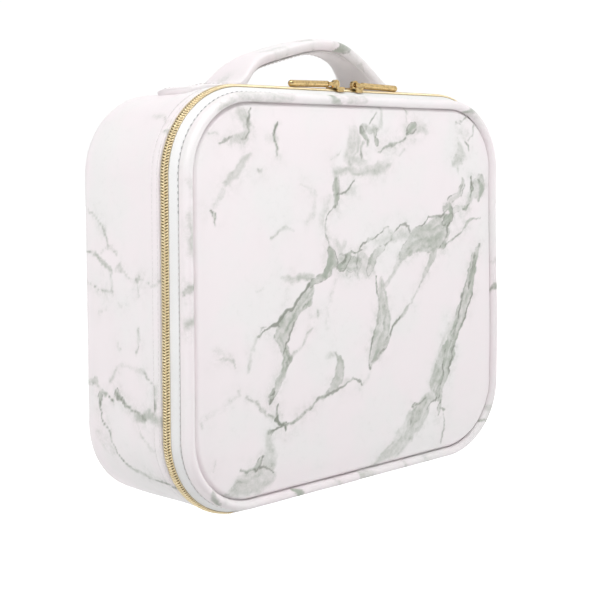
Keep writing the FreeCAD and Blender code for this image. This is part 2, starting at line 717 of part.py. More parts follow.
def make_slider(side, sign):
    """A slider with its ring, cast in one piece. The post between its wings runs in the chain's slot."""
    length, width, wing = (size(f"Sheet.{n}") for n in ("slider_length", "slider_width", "wing_thick"))
    chain, tape, snug = (size(f"Sheet.{n}") for n in ("chain_thick", "tape_thick", "snug"))
    clear, trim = size("Sheet.slider_clear"), size("Sheet.low_wing_trim")
    top = Part.makeBox(length, width, wing, Vector(-length / 2, -width / 2, clear))
    top = top.makeFillet(size("Sheet.slider_corner"), [e for e in top.Edges if is_upright(e)])
    rounded = [e for e in top.Edges if all(abs(v.Z - clear - wing) < 0.01 for v in e.Vertexes)]
    top = top.makeFillet(size("Sheet.slider_edge"), rounded)
    depth = chain + tape + snug + clear
    corner = Vector(trim - length / 2, trim - width / 2, -depth - wing)
    low = Part.makeBox(length - 2 * trim, width - 2 * trim, wing, corner)
    low = low.makeFillet(size("Sheet.low_wing_corner"), [e for e in low.Edges if is_upright(e)])
    post_length, post_width = size("Sheet.post_length"), size("Sheet.chain_slot") - 2 * clear
    corner = Vector(-post_length / 2, -post_width / 2, -depth - clear)
    post = Part.makeBox(post_length, post_width, depth + 2 * clear, corner)
    rim_room, rim_length = size("Sheet.chain_width") / 2 + clear, size("Sheet.rim_length")
    rims = []
    for face in (-1, 1):
        inner, outer = sorted((face * rim_room, face * (width / 2)))
        corner = Vector(-rim_length / 2, inner, 2 * clear - chain)
        rims.append(Part.makeBox(rim_length, outer - inner, chain, corner))
    thick, outer_r, hole_r = (size(f"Sheet.ring_{n}") for n in ("thick", "radius", "hole"))
    ring_z = clear + wing + hole_r + size("Sheet.ring_lift")
    disc = Part.makeCylinder(outer_r, thick, Vector(0, -thick / 2, ring_z), Vector(0, 1, 0))
    hole = Part.makeCylinder(hole_r, thick, Vector(0, -thick / 2, ring_z), Vector(0, 1, 0))
    below = Part.makeBox(length, width, length, Vector(-length / 2, -width / 2, clear + wing / 2 - length))
    ring_shape = disc.cut(hole).cut(below)
    shape = top.fuse([low, post, *rims, ring_shape]).removeSplitter()
    add_fixed(f"slider_{side}", shape, slider_place(sign))
    return ring_z


def is_upright(edge):
    first, last = edge.Vertexes[0].Point, edge.Vertexes[-1].Point
    return abs(first.x - last.x) < 0.01 and abs(first.y - last.y) < 0.01


def slider_place(sign):
    place = Vector(sign * size("Sheet.slider_x"), size(ZIP), size("Sheet.case_height"))
    return Placement(place, Rotation(Vector(0, 0, 1), 0 if sign < 0 else 180))


def make_pull(side, sign, ring_z):
    """A fork with a pin through the slider's ring, and a rounded bar. It points away from the middle."""
    pin_r, eye_r, bar_r = (size(f"Sheet.{n}_radius") for n in ("pin", "eye", "pull"))
    length, arm_length, arm_height = (size(f"Sheet.{n}") for n in ("pull_length", "arm_length", "arm_height"))
    yoke_length, yoke_lap = size("Sheet.yoke_length"), size("Sheet.yoke_lap")
    arm_in = size("Sheet.ring_thick") / 2 + size("Sheet.arm_clear")
    arm_out = arm_in + size("Sheet.arm_thick")
    pin = Part.makeCylinder(pin_r, 2 * arm_out, Vector(0, -arm_out, 0), Vector(0, 1, 0))
    arms = []
    for face in (-1, 1):
        start = arm_in if face > 0 else -arm_out
        eye = Part.makeCylinder(eye_r, arm_out - arm_in, Vector(0, start, 0), Vector(0, 1, 0))
        corner = Vector(-arm_length, start, -arm_height / 2)
        arms += [eye, Part.makeBox(arm_length, arm_out - arm_in, arm_height, corner)]
    corner = Vector(-arm_length - yoke_length, -arm_out, -arm_height / 2)
    yoke = Part.makeBox(yoke_length + yoke_lap, 2 * arm_out, arm_height, corner)
    bar = Part.makeCylinder(bar_r, length - arm_length - bar_r, Vector(-arm_length, 0, 0), Vector(-1, 0, 0))
    tip = Part.makeSphere(bar_r, Vector(bar_r - length, 0, 0))
    shape = pin.fuse([*arms, yoke, bar, tip]).removeSplitter()
    drop = math.degrees(math.asin((ring_z - bar_r - size("Sheet.pull_rest_clear")) / length))
    lean = Placement(Vector(), Rotation(Vector(0, 1, 0), -drop))
    pin_x = size("Sheet.ring_hole") - pin_r - size("Sheet.pin_play")
    pin_place = Placement(Vector(-pin_x, 0, ring_z), Rotation())
    place = slider_place(sign).multiply(pin_place).multiply(lean)
    pull = add_fixed(f"pull_{side}", shape, place)
    print(pull.Label, "turns about", pull.Placement.Base)


def main():
    make_tub()
    make_lid()
    make_zip()
    make_hinge_strip()
    make_brush_holder()
    make_dividers()
    make_handle()
    for side, sign in (("left", -1), ("right", 1)):
        make_pull(side, sign, make_slider(side, sign))
    doc.recompute()
    for item in doc.Objects:
        assert "Invalid" not in item.State and "Error" not in item.State, f"{item.Name}: {item.State}"
    os.makedirs("parts", exist_ok=True)
    for item in subparts:
        shape = item.Shape
        assert not shape.isNull() and shape.isValid() and shape.Solids, f"{item.Label} has no good solid"
        shape.exportStep(f"parts/{item.Label}.step")
    print(len(subparts), "sub-parts written")


main()
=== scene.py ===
import json
import math
import random

import bmesh
import bpy
import numpy as np
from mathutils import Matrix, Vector

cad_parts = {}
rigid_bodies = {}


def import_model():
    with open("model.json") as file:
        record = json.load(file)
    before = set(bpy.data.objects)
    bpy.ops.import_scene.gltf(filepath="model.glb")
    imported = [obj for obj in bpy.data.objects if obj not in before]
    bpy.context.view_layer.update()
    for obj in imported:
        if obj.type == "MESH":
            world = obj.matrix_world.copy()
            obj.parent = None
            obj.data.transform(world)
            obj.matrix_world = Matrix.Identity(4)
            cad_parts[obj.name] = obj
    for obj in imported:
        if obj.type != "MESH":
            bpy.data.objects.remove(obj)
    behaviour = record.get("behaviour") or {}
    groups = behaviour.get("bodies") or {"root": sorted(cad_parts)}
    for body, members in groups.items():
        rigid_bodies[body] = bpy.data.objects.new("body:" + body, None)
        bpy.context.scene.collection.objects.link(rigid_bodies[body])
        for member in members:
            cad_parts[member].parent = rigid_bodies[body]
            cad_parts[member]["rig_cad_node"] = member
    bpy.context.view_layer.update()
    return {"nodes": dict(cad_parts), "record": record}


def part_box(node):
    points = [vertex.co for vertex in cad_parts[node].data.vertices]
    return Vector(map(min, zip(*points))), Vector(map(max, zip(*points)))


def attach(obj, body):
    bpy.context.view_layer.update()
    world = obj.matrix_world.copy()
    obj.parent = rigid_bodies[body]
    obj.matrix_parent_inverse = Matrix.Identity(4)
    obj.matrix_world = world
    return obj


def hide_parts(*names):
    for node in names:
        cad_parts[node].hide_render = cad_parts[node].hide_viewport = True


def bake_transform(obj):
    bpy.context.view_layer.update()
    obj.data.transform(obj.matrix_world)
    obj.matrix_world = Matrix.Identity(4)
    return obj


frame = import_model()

# Sizes in metres.  The case's outline is a rounded rectangle in the XZ plane; "inset" is the distance
# in from it, and the front is towards -Y.
HALF_WIDTH = 0.135
HEIGHT = 0.240
CORNER = 0.050
OUTLINE_STEP = 0.0015
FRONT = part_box("lid_edge_roll")[0].y
ROLL_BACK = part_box("lid_edge_roll")[1].y
GUSSET_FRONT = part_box("base_gusset")[0].y
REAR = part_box("base_gusset")[1].y
ZIP = (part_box("base_zip_chain")[0].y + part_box("lid_zip_chain")[1].y) / 2
HANDLE_Y = 0.008
HINGE_HALF = 0.0905
TAPE_START = 0.0850
LINING_INSET = 0.0043
LINING_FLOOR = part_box("base_lining")[1].y
# the print is drawn in millimetres
IN_MM = 1000
# below this a length counts as none
TINY = 1e-9


# ------------------------------------------------------------------ numbers and noise

def smooth(low, high, value):
    """A soft step: 0 up to low, 1 from high on. It falls from 1 to 0 where low is above high."""
    share = np.clip((value - low) / (high - low), 0, 1)
    return share * share * (3 - 2 * share)


def ripple(u, v, wavelength, seed):
    """Smooth noise from -1 to 1 over a plane, with bumps about a wavelength apart."""
    wide, deep = 97, 89
    lattice = np.random.RandomState(seed).uniform(-1, 1, (wide, deep))
    a, b = u / wavelength, v / wavelength
    i, j = np.floor(a).astype(int), np.floor(b).astype(int)
    p, q = smooth(0, 1, a - i), smooth(0, 1, b - j)
    i, next_i, j, next_j = i % wide, (i + 1) % wide, j % deep, (j + 1) % deep
    low = lattice[i, j] * (1 - p) + lattice[next_i, j] * p
    high = lattice[i, next_j] * (1 - p) + lattice[next_i, next_j] * p
    return low * (1 - q) + high * q


def loop():
    """Points (x, z), outward normals and arc length round the outline, from the middle of the bottom."""
    flat, low, high = HALF_WIDTH - CORNER, CORNER, HEIGHT - CORNER
    places, normals = [], []

    def line(start, end, normal):
        count = max(2, round(math.dist(start, end) / OUTLINE_STEP))
        for k in range(count):
            t = k / count
            places.append((start[0] + (end[0] - start[0]) * t, start[1] + (end[1] - start[1]) * t))
            normals.append(normal)

    def corner(x, z, start):
        count = max(2, round(CORNER * math.pi / 2 / OUTLINE_STEP))
        for k in range(count):
            turn = math.radians(start) + math.pi / 2 * k / count
            normals.append((math.cos(turn), math.sin(turn)))
            places.append((x + CORNER * normals[-1][0], z + CORNER * normals[-1][1]))

    line((0, 0), (flat, 0), (0, -1))
    corner(flat, low, -90)
    line((HALF_WIDTH, low), (HALF_WIDTH, high), (1, 0))
    corner(flat, high, 0)
    line((flat, HEIGHT), (-flat, HEIGHT), (0, 1))
    corner(-flat, high, 90)
    line((-HALF_WIDTH, high), (-HALF_WIDTH, low), (-1, 0))
    corner(-flat, low, 180)
    line((-flat, 0), (0, 0), (0, -1))
    places, normals = np.array(places), np.array(normals)
    steps = np.linalg.norm(np.roll(places, -1, 0) - places, axis=1)
    return places, normals, np.concatenate([[0], np.cumsum(steps)[:-1]])


PLACES, NORMALS, ALONG = loop()
ROUND = float(ALONG[-1] + np.linalg.norm(PLACES[0] - PLACES[-1]))
LEFT_SIDE_START = ROUND - (HALF_WIDTH - CORNER) - CORNER * math.pi / 2 - (HEIGHT - 2 * CORNER)


def at_outline(along, inset):
    """Where a point at that arc length is, moved in by inset: (x, z), and the outward normal there."""
    along = np.mod(along, ROUND)
    grown = np.append(ALONG, ROUND)
    found = []
    for table in (PLACES, NORMALS):
        for k in range(2):
            found.append(np.interp(along, grown, np.append(table[:, k], table[0, k])))
    x, z, nx, nz = found
    length = np.hypot(nx, nz)
    nx, nz = nx / length, nz / length
    return x - inset * nx, z - inset * nz, nx, nz


# ------------------------------------------------------------------ meshes

def new_mesh(name, points, faces, uv=None):
    mesh = bpy.data.meshes.new(name)
    mesh.from_pydata([tuple(p) for p in points], [], [tuple(f) for f in faces])
    if uv is not None:
        layer = mesh.uv_layers.new(name="UVMap")
        corners = np.zeros(len(mesh.loops), int)
        mesh.loops.foreach_get("vertex_index", corners)
        layer.data.foreach_set("uv", np.asarray(uv, float)[corners].ravel())
    mesh.shade_smooth()
    return placed(name, mesh)


def placed(name, data):
    """A new object in the scene with that mesh, light or camera."""
    obj = bpy.data.objects.new(name, data)
    bpy.context.scene.collection.objects.link(obj)
    return obj


def grid_faces(rows, columns, close_rows=False, close_columns=False):
    faces = []
    for i in range(rows if close_rows else rows - 1):
        for j in range(columns if close_columns else columns - 1):
            a, b = (i + 1) % rows, (j + 1) % columns
            faces.append((i * columns + j, i * columns + b, a * columns + b, a * columns + j))
    return faces


def end_caps(rows, columns):
    """The faces that close a tube of that many rings, with that many points in each."""
    return [tuple(range(columns)), tuple(range((rows - 1) * columns, rows * columns))[::-1]]


def two_layers(rows, columns, close_ends):
    """Faces of a thin sheet that has two layers of points, closed along its sides and perhaps its ends."""
    second = rows * columns
    faces = grid_faces(rows, columns)
    faces += [tuple(second + k for k in face[::-1]) for face in faces]
    sides = [(i * columns + j, (i + 1) * columns + j) for i in range(rows - 1) for j in (0, columns - 1)]
    ends = [(i * columns + j, i * columns + j + 1) for j in range(columns - 1) for i in (0, rows - 1)]
    for a, b in sides + (ends if close_ends else []):
        faces.append((a, b, second + b, second + a))
    return faces


def outward(obj):
    """Turns a closed piece's faces so that they all look out."""
    mesh = bmesh.new()
    mesh.from_mesh(obj.data)
    bmesh.ops.recalc_face_normals(mesh, faces=mesh.faces)
    mesh.to_mesh(obj.data)
    mesh.free()
    return obj


def path_length(points):
    """How far along the path each of its points is."""
    steps = np.linalg.norm(np.diff(np.asarray(points, float), axis=0), axis=1)
    return np.concatenate([[0], np.cumsum(steps)])


def fine(points, step):
    """The same open path with points at most a step apart."""
    out = [points[0]]
    for start, end in zip(points, points[1:]):
        count = max(1, math.ceil(math.dist(start, end) / step))
        for k in range(1, count + 1):
            out.append(tuple(a + (b - a) * k / count for a, b in zip(start, end)))
    return out


def arc(centre, radius, start, end, count):
    """Points (inset, y) round a centre, from one angle to another, in degrees."""
    turns = [math.radians(start + (end - start) * k / count) for k in range(count + 1)]
    return [(centre[0] + radius * math.cos(t), centre[1] + radius * math.sin(t)) for t in turns]


def band(name, profile, start=None, end=None, bulge=None):
    """Sweeps a closed profile of (inset, y) points round the outline, all the way or from start to end."""
    if start is None:
        places, normals, along = PLACES, NORMALS, ALONG
    else:
        along = np.arange(start, end, OUTLINE_STEP)
        x, z, nx, nz = at_outline(along, 0)
        places, normals = np.stack([x, z], 1), np.stack([nx, nz], 1)
    profile = np.array(profile)
    inset, y = (column[None, :].repeat(len(along), 0) for column in profile.T)
    if bulge is not None:
        inset = inset - bulge(along[:, None], y)
    x = places[:, :1] - inset * normals[:, :1]
    z = places[:, 1:] - inset * normals[:, 1:]
    points = np.stack([x, y, z], -1).reshape(-1, 3)
    across = path_length(profile)
    uv = np.stack(np.meshgrid(along, across, indexing="ij"), -1).reshape(-1, 2)
    faces = grid_faces(len(along), len(profile), start is None, True)
    if start is not None:
        faces += end_caps(len(along), len(profile))
    return outward(new_mesh(name, points, faces, uv))


def panel(name, inset, step, height, back, centre=HEIGHT / 2, half=None, corner=None):
    """A rounded panel facing the front: y = height(distance in from its edge, x, z), closed at the back."""
    half_width, half_height = half or (HALF_WIDTH - inset, HEIGHT / 2 - inset)
    radius = corner or CORNER - inset
    count_x, count_z = round(2 * half_width / step), round(2 * half_height / step)
    a = np.linspace(-1, 1, count_x + 1)[:, None].repeat(count_z + 1, 1)
    b = np.linspace(-1, 1, count_z + 1)[None, :].repeat(count_x + 1, 0)
    x, z = a * half_width, b * half_height

    def past_corners(x, z):
        """How far a point is past the centres of the rounded corners, in x, in z and in all."""
        over_x, over_z = np.abs(x) - (half_width - radius), np.abs(z) - (half_height - radius)
        return over_x, over_z, np.hypot(np.maximum(over_x, 0), np.maximum(over_z, 0))

    over_x, over_z, reach = past_corners(x, z)
    limit = np.maximum(np.maximum(over_x, over_z), TINY)
    in_corner = (over_x > 0) & (over_z > 0)
    shrink = np.where(in_corner, limit / np.maximum(reach, TINY), 1.0)
    x = np.where(in_corner, np.sign(x) * (half_width - radius + over_x * shrink), x)
    z = np.where(in_corner, np.sign(z) * (half_height - radius + over_z * shrink), z)
    over_x, over_z, reach = past_corners(x, z)
    edge = radius - np.maximum(reach, np.minimum(np.maximum(over_x, over_z), 0))
    z = z + centre
    y = height(edge, x, z)
    points = np.stack([x, y, z], -1).reshape(-1, 3)
    uv = np.stack([x, z], -1).reshape(-1, 2)
    rows, columns = count_x + 1, count_z + 1
    faces = grid_faces(rows, columns)
    rim = [i * columns for i in range(rows)]
    rim += [(rows - 1) * columns + j for j in range(1, columns)]
    rim += [i * columns + columns - 1 for i in range(rows - 2, -1, -1)]
    rim += list(range(columns - 2, 0, -1))
    first = len(points)
    behind = points[rim] * np.array([1, 0, 1]) + np.array([0, back, 0])
    points = np.concatenate([points, behind])
    uv = np.concatenate([uv, uv[rim]])
    count = len(rim)
    for k in range(count):
        faces.append((rim[k], rim[(k + 1) % count], first + (k + 1) % count, first + k))
    faces.append(tuple(range(first, first + count)))
    return outward(new_mesh(name, points, faces, uv))


def copies(name, template, faces, places, frames):
    """One mesh with a copy of the template at each place. A frame's rows are its three axes."""
    template = np.asarray(template, float)
    points = np.einsum("vk,nkc->nvc", template, frames) + np.asarray(places)[:, None, :]
    copied = []
    for number in range(len(places)):
        shift = number * len(template)
        copied += [tuple(shift + corner for corner in face) for face in faces]
    return new_mesh(name, points.reshape(-1, 3), copied)


def bar_template(spine, half_across, half_high, sides):
    """A rounded bar along a spine of (a, b, c) points; its ends are drawn in."""
    points = []
    drawn_in = 0.45
    for k, (a, b, c) in enumerate(spine):
        size = drawn_in if k in (0, len(spine) - 1) else 1.0
        for s in range(sides):
            turn = 2 * math.pi * s / sides
            across, high = half_across * size * math.cos(turn), half_high * size * math.sin(turn)
            points.append((a + across, b, c + high))
    faces = grid_faces(len(spine), sides, False, True)
    return points, faces + [cap[::-1] for cap in end_caps(len(spine), sides)]


def stitch_line(name, points, normals, pitch, length, radius, sink=0.0):
    """Thread stitches along a path of points, lying on the surface with those normals."""
    points, normals = np.asarray(points, float), np.asarray(normals, float)
    along = path_length(points)
    marks = np.arange(pitch / 2, along[-1] - pitch / 2, pitch)

    def sample(values, where):
        return np.stack([np.interp(where, along, values[:, k]) for k in range(3)], 1)

    middle = sample(points, marks)
    near = 0.0004
    ahead = sample(points, marks + near) - sample(points, marks - near)
    ahead /= np.linalg.norm(ahead, axis=1, keepdims=True)
    up = sample(normals, marks)
    up -= ahead * (up * ahead).sum(1, keepdims=True)
    up /= np.linalg.norm(up, axis=1, keepdims=True)
    side = np.cross(up, ahead)
    half = length / 2
    low, shoulder, crest = -radius * 0.9, half * 0.75, radius * 0.35
    spine = [(0, -half, low), (0, -shoulder, 0), (0, 0, crest), (0, shoulder, 0), (0, half, low)]
    template, faces = bar_template(spine, radius, radius, 6)
    frames = np.stack([side, ahead, up], 1)
    return copies(name, template, faces, middle - up * sink, frames)


# ------------------------------------------------------------------ the marble print

def brushed(u, v, marks, seed):
    """Tone and dark line at each point of a print. A mark is a band through points (u, v, half width), in
    millimetres, with its tone, the darkness of its outline and how soft its edge is."""
    tone, line = np.zeros_like(u), np.zeros_like(u)
    haze_share, haze_reach, thin_mark, line_reach = 0.21, 5.5, 1.3, 0.46
    clouds = ripple(u, v, 14, seed + 31) + 0.7 * ripple(u, v, 5, seed + 32)
    for number, (fill, dark, soft, points) in enumerate(marks):
        gap, across, along, thin = (np.full_like(u, 1e9) for _ in range(4))
        done = 0.0
        for (a, b, r), (c, d, s) in zip(points, points[1:]):
            length = max(math.hypot(c - a, d - b), 1e-3)
            ahead = ((u - a) * (c - a) + (v - b) * (d - b)) / length
            share = np.clip(ahead / length, 0, 1)
            width = r + (s - r) * share
            away = np.hypot(u - a - share * (c - a), v - b - share * (d - b)) - width
            nearer = away < gap
            side = ((c - a) * (v - b) - (d - b) * (u - a)) / length
            gap = np.where(nearer, away, gap)
            across = np.where(nearer, side, across)
            along = np.where(nearer, done + ahead, along)
            thin = np.where(nearer, width, thin)
            done += length
        streak = ripple(across, along * 0.16, 1.5, seed + number % 7)
        inside = smooth(soft, -soft, gap)
        tone = np.maximum(tone, fill * inside * (0.88 + 0.34 * streak))
        haze = haze_share * fill * np.exp(-((np.maximum(gap, 0) / haze_reach) ** 1.4))
        tone = np.maximum(tone, haze * smooth(-0.7, 0.6, clouds))
        outline = np.where(thin < thin_mark, np.maximum(gap + 0.6 * thin, 0), gap)
        drawn = dark * np.exp(-((outline / line_reach) ** 2))
        drawn = np.maximum(drawn, 0.75 * dark * inside * smooth(0.35, 0.85, streak))
        line = np.maximum(line, drawn)
    return tone, line


def warped(u, v, seed):
    """Shifts a plane's points about, so that straight lines come out as natural veins."""
    shifts = [0.0, 0.0]
    for way in range(2):
        for number, (strength, wavelength) in enumerate(((1.3, 11), (1.0, 5.0), (0.6, 2.1))):
            shifts[way] = shifts[way] + strength * ripple(u, v, wavelength, seed + 3 * way + number)
    return u + shifts[0], v + shifts[1]


def wandering(seed, low, high, count, bands, slope, legs=(3, 8), widest=5.5):
    """Marks that wander across a rectangle: some broad bands, and thin veins, some of them faint."""
    pick = random.Random(seed)
    marks = []
    for number in range(count + bands):
        u, v = pick.uniform(low[0], high[0]), pick.uniform(low[1], high[1])
        heading = pick.choice([0, math.pi]) + slope + pick.uniform(-0.5, 0.5)
        broad = number < bands
        width = pick.uniform(2.0, widest) if broad else pick.uniform(0.4, 1.4)
        reach = pick.randint(*legs)
        points = [(u, v, 0.3)]
        for leg in range(reach):
            heading += pick.uniform(-0.6, 0.6)
            step = pick.uniform(5, 11)
            u, v = u + step * math.cos(heading), v + step * math.sin(heading)
            swell = math.sin(math.pi * (leg + 1) / (reach + 1)) * pick.uniform(0.6, 1.2)
            points.append((u, v, 0.3 + width * swell))
        soft = pick.choice([0.6, 0.9, 2.5])
        dark = pick.uniform(0.2, 0.85) if soft < 2 else 0.0
        marks.append((pick.uniform(0.35, 0.65), dark, soft, points))
    return marks


